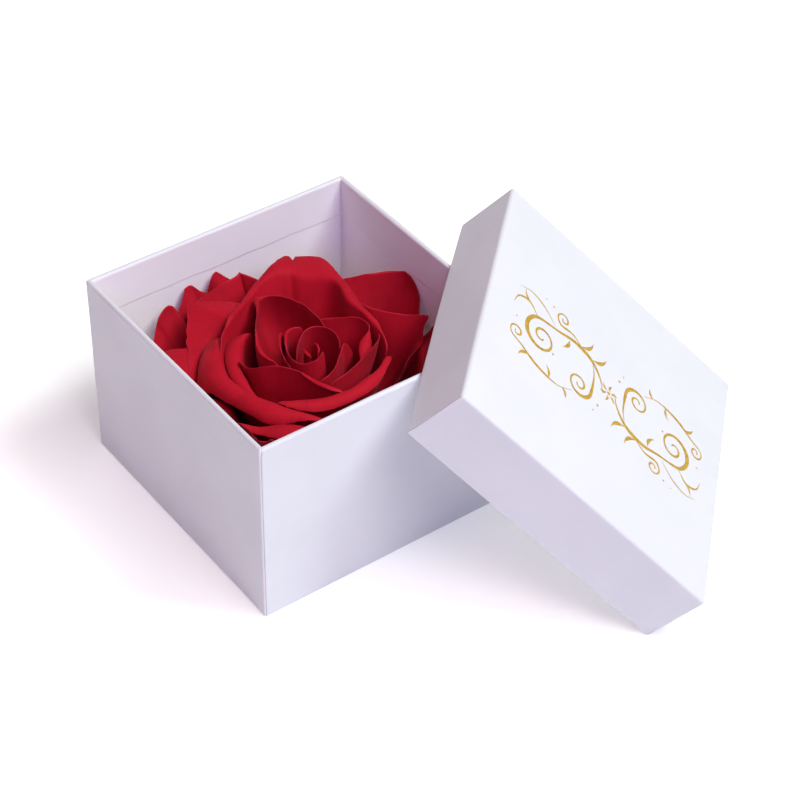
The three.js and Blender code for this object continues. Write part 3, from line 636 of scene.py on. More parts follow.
def tray(side, height, fold, board, turned_in, seed, groove, bow, face_clean):
    """Points, faces and measures of an open wrapped tray that stands on its closed face, in millimetres."""
    profile, crest_start, crest_end = tray_profile(side, height, fold, board, turned_in)
    rng = np.random.default_rng(seed)
    grid, offsets = tray_grid(profile, side)
    row = np.arange(len(grid))
    half = side / 2
    level = grid[..., 2]
    normals = sheet_normals(grid, closed=True)

    waves = soft_waves(rng, shortest=18, longest=45, count=7)(grid)
    push = BOARD_WAVES * waves * smooth_step(level, *WAVES_START)
    crest_middle = crest_start + RIM_SAMPLES // 2 + 1
    wall = smooth_step(level, *CREASES_START) * (row < crest_middle)[:, None]
    seam = SEAM_OFFSET + SEAM_HOOK * smooth_step(level, height - HOOK_START, height - HOOK_END)
    seam_line = wall * np.exp(-(((offsets * CORNER_RADIUS - seam) / SEAM_WIDTH) ** 2))
    push -= groove * seam_line
    for sx in (-1, 1):
        for sy in (-1, 1):
            for dx, dy, depth in BUNCHES:
                centre = np.array([sx * (half - dx), sy * (half - dy), height - BUNCH_DROP])
                push -= depth * wall * np.exp(-(((grid - centre) / BUNCH_REACH) ** 2).sum(axis=2))

    # the lining leaves a slit in the inner corners
    wall_reach = half - profile[:, :1]
    apart = np.hypot(np.abs(grid[..., 0]) - wall_reach, np.abs(grid[..., 1]) - wall_reach)
    lined = (row >= crest_end + 2)[:, None] & (level > board + FLOOR_FILLET)
    push -= np.where(lined, SLIT_DEPTH * np.exp(-((apart / SLIT_WIDTH) ** 2)), 0)
    grid = grid + normals * push[..., None]

    # the cut edge of the turned-in paper isn't quite straight
    near = np.exp(-(((profile[:, 1] - height + turned_in) / CUT_REACH) ** 2))
    near[:crest_end] = 0
    path = np.arctan2(grid[..., 1], grid[..., 0]) * side
    grid[..., 2] += near[:, None] * CUT_WAVES * line_waves(rng, shortest=25, longest=90, count=6)(path)
    if bow:
        share = np.clip(grid[..., 0] / half, -1, 1)
        bowed = (grid[..., 1] < -half + BOW_REACH) & (level > 0)
        grid[..., 1] -= np.where(bowed, bow * (1 - share ** 2) * (level / height) ** 2, 0)

    points = np.vstack([grid.reshape(-1, 3), [(0, 0, 0), (0, 0, board)]])
    # Painted light: the inside measure paints the paper lighter inside the walls and over the rim's crest,
    # partly on the lid's face, and as a painted highlight down the outer corners
    clean = smooth_step(row, crest_middle, crest_end) + face_clean * (1 - smooth_step(row, *FACE_RINGS))
    corner = CORNER_PAINTED_HIGHLIGHT * np.exp(-((offsets / CORNER_HIGHLIGHT_ANGLE) ** 2)) * wall
    clean = np.maximum(clean[:, None], corner)
    measures = {"inside": np.concatenate([clean.ravel(), [face_clean, 1]]),
                "wrap_seam": np.concatenate([seam_line.ravel(), [0, 0]])}
    return points, tray_faces(*grid.shape[:2]), measures


def tray_piece(name, paper, side, height, **wrapping):
    """One wrapped tray as a mesh object that stands on its closed face at the origin."""
    points, faces, measures = tray(
        side / MM, height / MM, paper.box_fold / MM, paper.board / MM, paper.turned_in / MM, **wrapping)
    return piece_from_arrays(name, points * MM, faces, wrapping_paper(paper), measures)


def lid_matrix(paper):
    """Place of the leaning lid: tipped over the rim edge that it stands on, as in the solids."""
    rim = paper.board / 2
    tilt = paper.lid_tilt
    foot = rim * (1 - math.sin(tilt) - math.cos(tilt)) + GROUND_CLEARANCE * MM
    return (Matrix.Translation((paper.lid_foot[0], paper.lid_foot[1], foot))
            @ Matrix.Rotation(paper.lid_heading + math.pi / 2, 4, "Z")
            @ Matrix.Rotation(math.pi + tilt, 4, "X")
            @ Matrix.Translation((0, -paper.lid_side / 2, -paper.lid_height)))


# Petals

def rim_columns(rim):
    """Smooth points along a petal's rim, with the lip and its turn at each, about COLUMN_STEP apart."""
    plain = (PLAIN_LIP, PLAIN_TURN)
    entries = np.array([(*entry, *plain[len(entry) - 3:]) for entry in rim], dtype=float)
    turn = np.radians(entries[:, 0])
    listed = np.stack([entries[:, 1] * np.cos(turn), entries[:, 1] * np.sin(turn), entries[:, 2]], axis=1)
    padded = np.vstack([2 * listed[0] - listed[1], listed, 2 * listed[-1] - listed[-2]])
    points, lips = [], []
    for k in range(len(listed) - 1):
        p0, p1, p2, p3 = padded[k:k + 4]
        d0, d1, d2 = (math.sqrt(np.linalg.norm(b - a)) for a, b in ((p0, p1), (p1, p2), (p2, p3)))
        t1 = ((p1 - p0) / d0 - (p2 - p0) / (d0 + d1) + (p2 - p1) / d1) * d1
        t2 = ((p2 - p1) / d1 - (p3 - p1) / (d1 + d2) + (p3 - p2) / d2) * d1
        parts = max(2, round(float(np.linalg.norm(p2 - p1)) / COLUMN_STEP))
        last = k == len(listed) - 2
        s = (np.arange(parts + last) / parts)[:, None]
        points.append(p1 + t1 * s + (3 * p2 - 3 * p1 - 2 * t1 - t2) * s ** 2
                      + (2 * p1 - 2 * p2 + t1 + t2) * s ** 3)
        eased = s * s * (3 - 2 * s)
        lips.append(entries[k, 3:] + (entries[k + 1, 3:] - entries[k, 3:]) * eased)
    lips = np.concatenate(lips)
    return np.concatenate(points), lips[:, 0], np.radians(lips[:, 1])


def petal_lines(name, whorl, radius, height, lip, turn):
    """Lines of a petal in their half-planes, from the receptacle up to the crest and over the lip."""
    seat = math.radians(FIRST_WHORL + WHORL_STEP * whorl)
    launch = math.radians(max(90 - math.degrees(seat), FLATTEST_LAUNCH))
    spread = np.clip((radius - INNER_RIM) / (OUTER_RIM - INNER_RIM), 0, 1)
    arrive = np.radians(INNER_ARRIVAL + (OUTER_ARRIVAL - INNER_ARRIVAL) * spread)
    if name in ARRIVALS:
        arrive = np.full_like(arrive, math.radians(ARRIVALS[name]))
    inward = lip < 0
    size = np.abs(lip)
    roll = np.where(inward, size / FOLD_TURN, size / turn)
    softest = SOFTEST_BEND + FLARE_BEND * np.clip((FLARE_TURN - turn) / FLARE_RANGE, 0, 1)
    fitting = np.clip(TIGHTEST_BEND + BEND_PER_LIP * size, TIGHTEST_BEND, softest)
    inner = np.where(inward, roll, running_mean(np.minimum(roll, fitting), np.ones(EVEN_COLUMNS)))
    base = HIP_RADIUS + BASE_GAP
    start = np.array([math.sin(seat) * base, HIP_HEIGHT + math.cos(seat) * base])
    end = np.stack([
        radius + np.where(inward, 1, -1) * inner * np.sin(arrive),
        height - inner * np.where(inward, 1 + np.cos(arrive), 1 - np.cos(arrive)),
    ], axis=1)
    reach = (BEND * np.linalg.norm(end - start, axis=1))[:, None]
    first = start + reach * np.array([math.cos(launch), math.sin(launch)])
    second = end - reach * np.stack([np.cos(arrive), np.sin(arrive)], axis=1)
    s = np.linspace(0, 1, LINE_SAMPLES)[None, :, None]
    body = ((1 - s) ** 3 * start + 3 * (1 - s) ** 2 * s * first[:, None]
            + 3 * (1 - s) * s ** 2 * second[:, None] + s ** 3 * end[:, None])
    step = np.concatenate([np.arange(1, ROLL_SAMPLES + 1) / ROLL_SAMPLES,
                           1 + np.arange(1, LIP_SAMPLES + 1) / LIP_SAMPLES])[None, :]
    # outwards: up to the crest in the inner radius, then over in the lip's own; inwards: one even fold
    slope = np.where(step <= 1, arrive[:, None] * (1 - step), -turn[:, None] * (step - 1))
    bend = np.where(step <= 1, inner[:, None], roll[:, None])
    fold = arrive[:, None] + FOLD_TURN * step / 2
    r, z = radius[:, None], height[:, None]
    over = np.stack([
        np.where(inward[:, None], r + bend * np.sin(fold), r - bend * np.sin(slope)),
        np.where(inward[:, None], z - bend * (1 + np.cos(fold)), z - bend * (1 - np.cos(slope))),
    ], axis=2)
    return np.concatenate([body, over], axis=1)


def petal_sheet(name, ripple, drift, seed):
    """Middle surface of a petal as columns by rows of points, with lengths along the rim and to the rim."""
    whorl, rim = PETALS[name]
    rng = np.random.default_rng([seed, sorted(PETALS).index(name)])
    ruffle = RUFFLE.get(name, 1.0)
    crest, lip, turn = rim_columns(rim)
    along = path_lengths(crest)
    radius = np.hypot(crest[:, 0], crest[:, 1])
    heights = crest[:, 2] + CREST_WAVES * ruffle * line_waves(rng, shortest=7, longest=22, count=5)(along)
    lines = petal_lines(name, whorl, radius, heights, lip, turn)

    # equal shares of each line's length, crowded towards the rim; the lines near the side edges end earlier
    lengths = path_lengths(lines)
    side = np.minimum(along, along[-1] - along)
    rounding = min(CORNER_ROUNDING, along[-1] / 4)
    drop = np.clip(1 - side / rounding, 0, 1)
    cut = rounding * (1 - np.sqrt(1 - np.minimum(drop, SHARPEST_CORNER) ** 2))
    ends = lengths[:, -1] - cut
    share = 1 - (1 - np.linspace(0, 1, ROWS)) ** ROW_CROWDING
    share = share / share[-1]
    flat = np.empty((len(lines), ROWS, 2))
    for i, line in enumerate(lines):
        at = share * ends[i]
        flat[i, :, 0] = np.interp(at, lengths[i], line[:, 0])
        flat[i, :, 1] = np.interp(at, lengths[i], line[:, 1])
    plan = crest[:, :2] / radius[:, None]
    sheet = np.concatenate([flat[..., :1] * plan[:, None, :], flat[..., 1:]], axis=2)
    to_edge = ends[:, None] * (1 - share)[None, :]

    # neighbours lean together, so that petals don't meet
    lean = soft_waves(np.random.default_rng(seed), shortest=16, longest=34, count=6)(sheet)
    away = np.hypot(sheet[..., 0], sheet[..., 1])
    lean *= drift * smooth_step(away, *LEAN_OUT) * smooth_step(sheet[..., 2], *LEAN_RISE)
    lean *= 1 - smooth_step(sheet[..., 2], *LEAN_FALL)
    sheet[..., :2] += plan[:, None, :] * lean[..., None]

    normals = sheet_normals(sheet)
    grown = share[None, :]
    rim_waves = line_waves(rng, shortest=12, longest=30, count=4)(along)[:, None]
    waves = RIM_RIPPLE * rim_waves * grown ** RIPPLE_GROWTH
    cross = SHEET_RIPPLE * soft_waves(rng, shortest=9, longest=22, count=6)(sheet) * grown
    sheet = sheet + normals * (ripple * ruffle * (waves + cross))[..., None]
    return sheet, along, to_edge


def sheet_normals(sheet, closed=False):
    """Unit normals of a grid of points; a closed one runs round in its second direction."""
    if closed:
        up = np.gradient(sheet, axis=0)
        across = (np.roll(sheet, -1, axis=1) - np.roll(sheet, 1, axis=1)) / 2
        normals = np.cross(across, up)
    else:
        normals = np.cross(np.gradient(sheet, axis=0), np.gradient(sheet, axis=1))
    return normals / np.maximum(np.linalg.norm(normals, axis=2), 1e-9)[..., None]


def keep_in_box(sheet, limit):
    """Presses a sheet flat where it would pass into the box's walls."""
    free = limit - WALL_EASING
    for axis in (0, 1):
        shifted = sheet[..., axis] + ROSE_AXIS[axis]
        over = np.abs(shifted) - free
        pressed = np.sign(shifted) * (free + WALL_EASING * np.tanh(np.maximum(over, 0) / WALL_EASING))
        sheet[..., axis] = np.where(over > 0, pressed, shifted)
    return sheet


def petal_piece(name, rose, paper, material):
    """One petal: its middle surface thickened, with a rounded rim, as a closed mesh."""
    sheet, along, to_edge = petal_sheet(name, rose.ripple / MM, rose.drift / MM, rose.seed)
    limit = (paper.box_side / 2 - paper.board) / MM - WALL_CLEARANCE
    sheet = keep_in_box(sheet, limit)
    columns, rows = sheet.shape[:2]
    share = 1 - to_edge / to_edge.max()
    half = (rose.base_thickness + (rose.rim_thickness - rose.base_thickness) * share) / MM / 2
    edge = np.minimum(to_edge, np.minimum(along, along[-1] - along)[:, None])
    half = half * (EDGE_SHARE + (1 - EDGE_SHARE) * np.sqrt(np.clip(edge / EDGE_ROUNDING, 0, 1)))
    normals = sheet_normals(sheet)
    front = sheet + normals * half[..., None]
    back = sheet - normals * half[..., None]
    outwards = sheet[:, -1] - sheet[:, -2]
    outwards /= np.linalg.norm(outwards, axis=1)[:, None]
    tip = sheet[:, -1] + outwards * half[:, -1:]
    loop = np.concatenate([front, tip[:, None], back[:, ::-1]], axis=1)
    size = loop.shape[1]
    points = loop.reshape(-1, 3) * MM

    quads = ring_quads(columns, size)[:, [0, 3, 2, 1]]
    j = np.arange(rows - 1)
    near = np.stack([j, j + 1, size - 2 - j, size - 1 - j], axis=1)
    far = near[:, ::-1] + (columns - 1) * size
    caps = np.array([[rows - 1, rows, rows + 1]])
    tips = np.vstack([caps, caps[:, ::-1] + (columns - 1) * size])

    longest = to_edge.max()
    u = np.repeat(along[:, None], size, axis=1)
    middle = np.full((columns, 1), longest)
    v = np.concatenate([longest - to_edge, middle, longest + to_edge[:, ::-1]], axis=1)
    uv = np.stack([u, v], axis=2).reshape(-1, 2) / UV_LENGTH
    rim = np.concatenate([edge, np.zeros((columns, 1)), edge[:, ::-1]], axis=1).ravel()
    piece = piece_from_arrays(
        "rose_" + name, points, [quads, near, far, tips], material, measures={"to_rim": rim}, uv=uv)
    piece.data.set_sharp_from_angle(angle=SHARP_ANGLE)
    return piece


# Geometry Nodes

def add_node(tree, kind, values=None, **settings):
    """A node with its settings, and values for its inputs by name or number."""
    node = tree.nodes.new(kind)
    for key, value in settings.items():
        setattr(node, key, value)
    for key, value in (values or {}).items():
        if isinstance(value, bpy.types.NodeSocket):
            tree.links.new(value, node.inputs[key])
        else:
            node.inputs[key].default_value = value
    return node


def math_node(tree, operation, a, b):
    """Result of a maths node."""
    return add_node(tree, "ShaderNodeMath", {0: a, 1: b}, operation=operation).outputs[0]


def start_tree(name, sizes):
    """A Geometry Nodes tree with a geometry, named sizes and a material as inputs."""
    tree = bpy.data.node_groups.new(name, "GeometryNodeTree")
    tree.interface.new_socket("Geometry", in_out="INPUT", socket_type="NodeSocketGeometry")
    for title, kind, default in sizes:
        socket = tree.interface.new_socket(title, in_out="INPUT", socket_type=kind)
        socket.default_value = default
    tree.interface.new_socket("Material", in_out="INPUT", socket_type="NodeSocketMaterial")
    tree.interface.new_socket("Geometry", in_out="OUTPUT", socket_type="NodeSocketGeometry")
    return tree, tree.nodes.new("NodeGroupInput")


def end_tree(tree, inputs, geometry):
    """Ends a tree in Realize Instances and Set Material."""
    real = add_node(tree, "GeometryNodeRealizeInstances", {"Geometry": geometry})
    painted = add_node(tree, "GeometryNodeSetMaterial", {
        "Geometry": real.outputs["Geometry"], "Material": inputs.outputs["Material"]})
    out = tree.nodes.new("NodeGroupOutput")
    tree.links.new(painted.outputs["Geometry"], out.inputs["Geometry"])


def run_tree(name, tree, guide, values):
    """Puts a tree on an object with the guide mesh, and returns a plain mesh object of the result."""
    source = new_object(name + "_guide", guide)
    modifier = source.modifiers.new("Nodes", "NODES")
    modifier.node_group = tree
    for item in tree.interface.items_tree:
        if item.item_type == "SOCKET" and item.in_out == "INPUT" and item.name in values:
            modifier[item.identifier] = values[item.name]
    depsgraph = bpy.context.evaluated_depsgraph_get()
    mesh = bpy.data.meshes.new_from_object(source.evaluated_get(depsgraph), depsgraph=depsgraph)
    mesh.name = name
    if not len(mesh.polygons):
        raise RuntimeError(f"the tree for {name} made no faces")
    bpy.data.objects.remove(source)
    bpy.data.meshes.remove(guide)
    return new_object(name, mesh)


def guide_mesh(name, strokes, dots=()):
    """Polylines with a half width at each point, and loose points with a radius, as a mesh of edges."""
    points, widths, radii, edges = [], [], [], []
    for line, half_widths in strokes:
        first = len(points)
        points += [tuple(p) for p in line]
        widths += list(half_widths)
        radii += [0.0] * len(line)
        edges += [(first + k, first + k + 1) for k in range(len(line) - 1)]
    for x, y, radius in dots:
        points.append((x, y, 0))
        widths.append(0.0)
        radii.append(radius)
    mesh = bpy.data.meshes.new(name)
    mesh.from_pydata(points, edges, [])
    add_measures(mesh, {"half_width": widths, "dot_radius": radii})
    return mesh


def scaled_measure(tree, title, scale):
    """Measure of the guide mesh, and that measure times a socket."""
    node = add_node(tree, "GeometryNodeInputNamedAttribute", {"Name": title}, data_type="FLOAT")
    measure = node.outputs["Attribute"]
    return measure, math_node(tree, "MULTIPLY", measure, scale)


def swept_lines(tree, inputs, scale):
    """Round bodies along the guide's lines, as thick as its half widths times a socket."""
    _, width = scaled_measure(tree, "half_width", scale)
    lines = add_node(tree, "GeometryNodeMeshToCurve", {"Mesh": inputs.outputs["Geometry"]})
    ring = add_node(tree, "GeometryNodeCurvePrimitiveCircle", {
        "Resolution": inputs.outputs["Facets"], "Radius": 1.0}, mode="RADIUS")
    swept = add_node(tree, "GeometryNodeCurveToMesh", {
        "Curve": lines.outputs["Curve"], "Profile Curve": ring.outputs["Curve"], "Scale": width,
        "Fill Caps": True})
    return swept.outputs["Mesh"]


def foil_tree():
    """Strokes swept along their lines and dots set on their points, all pressed flat."""
    tree, inputs = start_tree("Foil ornament", (
        ("Stroke", "NodeSocketFloat", 1.0), ("Flatness", "NodeSocketFloat", 0.05),
        ("Facets", "NodeSocketInt", 10)))
    swept = swept_lines(tree, inputs, inputs.outputs["Stroke"])
    radius, grown = scaled_measure(tree, "dot_radius", inputs.outputs["Stroke"])
    chosen = add_node(tree, "FunctionNodeCompare", {0: radius, 1: 0.0}, data_type="FLOAT",
                      operation="GREATER_THAN")
    spots = add_node(tree, "GeometryNodeMeshToPoints", {
        "Mesh": inputs.outputs["Geometry"], "Selection": chosen.outputs["Result"]})
    bead = add_node(tree, "GeometryNodeMeshUVSphere", {"Segments": 16, "Rings": 6, "Radius": 1.0})
    beads = add_node(tree, "GeometryNodeInstanceOnPoints", {
        "Points": spots.outputs["Points"], "Instance": bead.outputs["Mesh"], "Scale": grown})
    real = add_node(tree, "GeometryNodeRealizeInstances", {"Geometry": beads.outputs["Instances"]})
    joined = tree.nodes.new("GeometryNodeJoinGeometry")
    tree.links.new(swept, joined.inputs[0])
    tree.links.new(real.outputs["Geometry"], joined.inputs[0])
    place = tree.nodes.new("GeometryNodeInputPosition")
    flat = add_node(tree, "ShaderNodeCombineXYZ", {"X": 1.0, "Y": 1.0, "Z": inputs.outputs["Flatness"]})
    pressed = add_node(tree, "ShaderNodeVectorMath", {
        0: place.outputs["Position"], 1: flat.outputs["Vector"]}, operation="MULTIPLY")
    moved = add_node(tree, "GeometryNodeSetPosition", {
        "Geometry": joined.outputs["Geometry"], "Position": pressed.outputs["Vector"]})
    smooth = add_node(tree, "GeometryNodeSetShadeSmooth", {"Geometry": moved.outputs["Geometry"]})
    end_tree(tree, inputs, smooth.outputs["Geometry"])
    return tree


def stalk_tree():
    """A round body whose radius is given at each point of its middle line."""
    tree, inputs = start_tree("Receptacle", (
        ("Girth", "NodeSocketFloat", 1.0), ("Facets", "NodeSocketInt", STEM_FACETS)))
    swept = swept_lines(tree, inputs, inputs.outputs["Girth"])
    smooth = add_node(tree, "GeometryNodeSetShadeSmooth", {"Geometry": swept})
    end_tree(tree, inputs, smooth.outputs["Geometry"])
    return tree


# Foil ornament

def smooth_path(points):
    """Points about STROKE_STEP apart on a smooth curve through the listed ones."""
    p = np.asarray(points, dtype=float)
    padded = np.vstack([2 * p[0] - p[1], p, 2 * p[-1] - p[-2]])
    out = []
    for k in range(len(p) - 1):
        a, b, c, d = padded[k:k + 4]
        parts = max(2, round(float(np.linalg.norm((c - b)[:2])) / STROKE_STEP))
        s = (np.arange(parts + (k == len(p) - 2)) / parts)[:, None]
        out.append(0.5 * (2 * b + (c - a) * s + (2 * a - 5 * b + 4 * c - d) * s ** 2
                          + (3 * b - a - 3 * c + d) * s ** 3))
    return np.concatenate(out)


def spiral(centre, radius, start, sweep, end_radius, count):
    """Listed points of a volute that winds in round its centre; angles in degrees."""
    share = np.linspace(0, 1, count)
    turn = np.radians(start + sweep * share)
    size = end_radius + (radius - end_radius) * (1 - share) ** VOLUTE_EASE
    return [(centre[0] + r * math.cos(t), centre[1] + r * math.sin(t)) for r, t in zip(size, turn)]


def stroke(points, widths):
    """A smooth stroke in the ornament's plane with half widths eased between those listed."""
    path = smooth_path(points)
    lengths = path_lengths(path)
    share = lengths / lengths[-1]
    stops = np.linspace(0, 1, len(widths))
    eased = np.interp(share, stops, widths)
    half = running_mean(eased, np.hanning(WIDTH_POINTS))
    ends = np.minimum(lengths, lengths[-1] - lengths)
    half = half * np.sqrt(np.clip(ends / END_LENGTH, END_SHARE, 1))
    return np.column_stack([path, np.zeros(len(path))]), np.maximum(half, LEAST_WIDTH)


def leaf(base, tip, bulge, side):
    """A pointed leaf that bends to one side."""
    base, tip = np.array(base, float), np.array(tip, float)
    along = tip - base
    across = np.array([-along[1], along[0]]) * LEAF_BEND * side
    points = [base, base + along * 0.35 + across, base + along * 0.7 + across * 0.9, tip]
    return stroke(points, [0.12, 0.55 * bulge, bulge, 0.75 * bulge, 0.3 * bulge, 0.06])


def ornament_lines():
    """Strokes and dots of the scrollwork: one half, turned half round for the other, and a floret between."""
    half = [
        stroke([(2.4, 2.2), (4.2, -2.8), (9.0, -7.6), (16.5, -9.2), (24.0, -7.6)]
               + spiral((30.0, 1.0), 7.4, -72, 590, 1.0, 20),
               [0.12, 0.5, 0.9, 0.62, 0.42, 0.72, 0.9, 0.6, 0.4, 0.5, 0.3]),
        stroke([(8.2, -6.6), (6.9, -1.5)] + spiral((12.2, 6.8), 5.3, 186, -560, 0.8, 18),
               [0.1, 0.34, 0.62, 0.74, 0.44, 0.34, 0.46, 0.3]),
        stroke([(13.0, -9.0), (18.0, -11.6)] + spiral((22.6, -14.4), 3.2, 84, -480, 0.6, 14),
               [0.1, 0.3, 0.5, 0.36, 0.3, 0.42, 0.24]),
        stroke([(14.5, 12.2), (21.0, 15.4), (30.0, 14.6), (37.0, 11.6)]
               + spiral((39.6, 7.6), 3.0, 62, -470, 0.6, 14),
               [0.08, 0.2, 0.5, 0.64, 0.36, 0.26, 0.42, 0.24]),
        stroke([(33.0, -6.0), (37.2, -9.4), (41.6, -8.2), (43.2, -3.8)], [0.1, 0.34, 0.5, 0.26, 0.07]),
        stroke([(25.5, -8.4), (31.0, -12.6), (37.0, -14.4), (42.2, -12.8)], [0.08, 0.22, 0.34, 0.2, 0.06]),
        leaf((8.6, -8.2), (3.0, -13.2), 0.85, -1),
        leaf((13.8, -9.8), (9.4, -15.4), 0.8, -1),
        leaf((19.0, -7.9), (21.6, -2.6), 0.75, 1),
        leaf((18.6, 14.4), (16.6, 18.0), 0.7, 1),
        leaf((24.6, 15.6), (26.4, 10.8), 0.65, -1),
        leaf((33.6, 13.2), (37.4, 16.4), 0.7, -1),
        leaf((36.6, -9.4), (39.6, -13.4), 0.5, 1),
    ]
    strokes = []
    for points, widths in half:
        strokes.append((points, widths))
        strokes.append((points * (-1, -1, 1), widths))
    for k in range(6):
        turn = math.radians(60 * k + 15)
        out = np.array([math.cos(turn), math.sin(turn)])
        strokes.append(leaf(out * 1.1, out * 4.0, 0.62, 1))
    dots = [(0, 0, 0.72)]
    for x, y, radius in ((3.6, 9.2, 0.5), (5.0, 12.6, 0.36), (24.4, 4.2, 0.42), (41.0, 1.4, 0.34),
                         (27.6, -16.4, 0.4), (31.0, -17.0, 0.28)):
        dots += [(x, y, radius), (-x, -y, radius)]
    return strokes, dots


# Materials

def new_material(name):
    """A material with only a Principled shader: its tree, the shader, and the object's own coordinates."""
    material = bpy.data.materials.new(name)
    material.use_nodes = True
    tree = material.node_tree
    place = tree.nodes.new("ShaderNodeTexCoord").outputs["Object"]
    return material, tree, tree.nodes["Principled BSDF"], place


def finish_shader(tree, shader, colour, gloss=None, relief=None, **values):
    """Sets colour, gloss as (factor, low, high), relief as (height, strength, distance) and other sockets.

    The other sockets go by their names: coat_roughness stands for Coat Roughness.
    """
    tree.links.new(colour, shader.inputs["Base Color"])
    if gloss:
        node = add_node(tree, "ShaderNodeMapRange", dict(zip(("Value", "To Min", "To Max"), gloss)))
        tree.links.new(node.outputs["Result"], shader.inputs["Roughness"])
    if relief:
        node = add_node(tree, "ShaderNodeBump", dict(zip(("Height", "Strength", "Distance"), relief)))
        tree.links.new(node.outputs["Normal"], shader.inputs["Normal"])
    for key, value in values.items():
        shader.inputs[key.replace("_", " ").title().replace("Ior", "IOR")].default_value = value


def noise(tree, vector, scale, detail, roughness=0.5, distortion=0.0):
    """Factor of a noise texture."""
    node = add_node(tree, "ShaderNodeTexNoise", {
        "Vector": vector, "Scale": scale, "Detail": detail, "Roughness": roughness, "Distortion": distortion})
    return node.outputs["Fac"]


def stretched(tree, vector, scale):
    """Coordinates times a scale for each direction."""
    return add_node(tree, "ShaderNodeMapping", {"Vector": vector, "Scale": scale}).outputs["Vector"]


def ramp(tree, factor, low, high):
    """Factor spread from 0 at low to 1 at high, eased."""
    node = add_node(tree, "ShaderNodeMapRange", {"Value": factor, "From Min": low, "From Max": high},
                    interpolation_type="SMOOTHSTEP")
    return node.outputs["Result"]


def measured(tree, title):
    """Measure that the mesh has at each point."""
    return add_node(tree, "ShaderNodeAttribute", attribute_name=title).outputs["Fac"]


def weighted(tree, *terms):
    """Sum of sockets, each times its weight."""
    parts = [math_node(tree, "MULTIPLY", socket, weight) for socket, weight in terms]
    total = parts[0]
    for part in parts[1:]:
        total = math_node(tree, "ADD", total, part)
    return total


def mixed(tree, factor, a, b):
    """Colour mixed from a to b."""
    node = tree.nodes.new("ShaderNodeMix")
    node.data_type = "RGBA"
    colours = [socket for socket in node.inputs if socket.type == "RGBA"]
    for socket, value in ((node.inputs[0], factor), (colours[0], a), (colours[1], b)):
        if isinstance(value, bpy.types.NodeSocket):
            tree.links.new(value, socket)
        else:
            socket.default_value = value
    return next(socket for socket in node.outputs if socket.type == "RGBA")


def opaque(colour, shade=1.0):
    """Colour times a shade, with full alpha."""
    return (*(shade * value for value in colour), 1.0)


def wrapping_paper(paper):
    """Smooth white paper pulled over board: faint clouds, fine fibres and a soft sheen."""
    material, tree, shader, place = new_material("White wrapping paper")
    clouds = ramp(tree, noise(tree, place, scale=45, detail=4), low=0.35, high=0.7)
    # the inside measure says where light is painted: there the paper takes the lighter painted colour
    inside = measured(tree, "inside")
    light, dark = (
        mixed(tree, inside, opaque(paper.colour, shade), opaque(paper.lit_paper_colour, shade))
        for shade in (1.0, 1 - paper.clouds))
    line = math_node(tree, "MULTIPLY", measured(tree, "wrap_seam"), SEAM_STRENGTH)
    colour = mixed(tree, line, mixed(tree, clouds, light, dark), opaque(paper.seam_colour))
    fibres = noise(tree, place, scale=2600, detail=5, roughness=0.6, distortion=0.4)
    board = noise(tree, place, scale=260, detail=3)
    height = weighted(tree, (fibres, 0.35), (board, 1.0))
    finish_shader(tree, shader, colour, gloss=(clouds, 0.46, 0.54), relief=(height, 0.12, 0.00006),
                  specular_ior_level=0.35, sheen_weight=0.05, sheen_roughness=0.5)
    return material


def velvet_petal(rose):
    """Preserved petal: deep red velvet with fine veins along it, and a painted highlight along the rim."""
    material, tree, shader, place = new_material("Preserved rose petal")
    lengths = tree.nodes.new("ShaderNodeUVMap").outputs["UV"]
    clouds = noise(tree, place, scale=90, detail=4, roughness=0.55)
    veins = noise(tree, stretched(tree, lengths, (150.0, 7.0, 1.0)), scale=1.0, detail=4, roughness=0.6,
                  distortion=0.25)
    threads = noise(tree, stretched(tree, lengths, (420.0, 30.0, 1.0)), scale=1.0, detail=3, roughness=0.6,
                    distortion=0.2)
    nap = noise(tree, place, scale=5200, detail=3, roughness=0.7)
    deep = weighted(tree, (ramp(tree, clouds, low=0.4, high=0.75), 0.45),
                    (ramp(tree, veins, low=0.45, high=0.8), 0.28))
    colour = mixed(tree, deep, opaque(rose.petal), opaque(rose.petal_deep))
    # painted highlight: a paler red painted near the rim, with an uneven reach
    highlight_reach = weighted(tree, (measured(tree, "to_rim"), 1.0), (math_node(tree, "SUBTRACT", clouds, 0.5), 2.4))
    rim_highlight = math_node(tree, "MULTIPLY", ramp(tree, highlight_reach, low=0.55, high=-0.15), 0.5)
    colour = mixed(tree, rim_highlight, colour, opaque(rose.petal_rim_highlight))
    height = weighted(tree, (veins, 1.0), (threads, 0.35), (nap, 0.35))
    finish_shader(tree, shader, colour, gloss=(clouds, 0.66, 0.82), relief=(height, 0.35, 0.00022),
                  specular_ior_level=0.14, sheen_weight=0.06, sheen_roughness=0.4,
                  sheen_tint=(1.0, 0.3, 0.38, 1.0))
    return material


def dried_green(rose):
    """Matt dried stem and receptacle with ridges along it."""
    material, tree, shader, place = new_material("Dried rose receptacle")
    ridges = noise(tree, stretched(tree, place, (900.0, 900.0, 120.0)), scale=1.0, detail=4)
    blotches = ramp(tree, noise(tree, place, scale=260, detail=4), low=0.35, high=0.7)
    colour = mixed(tree, blotches, opaque(rose.green), opaque(rose.green, shade=0.5))
    finish_shader(tree, shader, colour, relief=(ridges, 0.4, 0.0003), roughness=0.8, specular_ior_level=0.3)
    return material


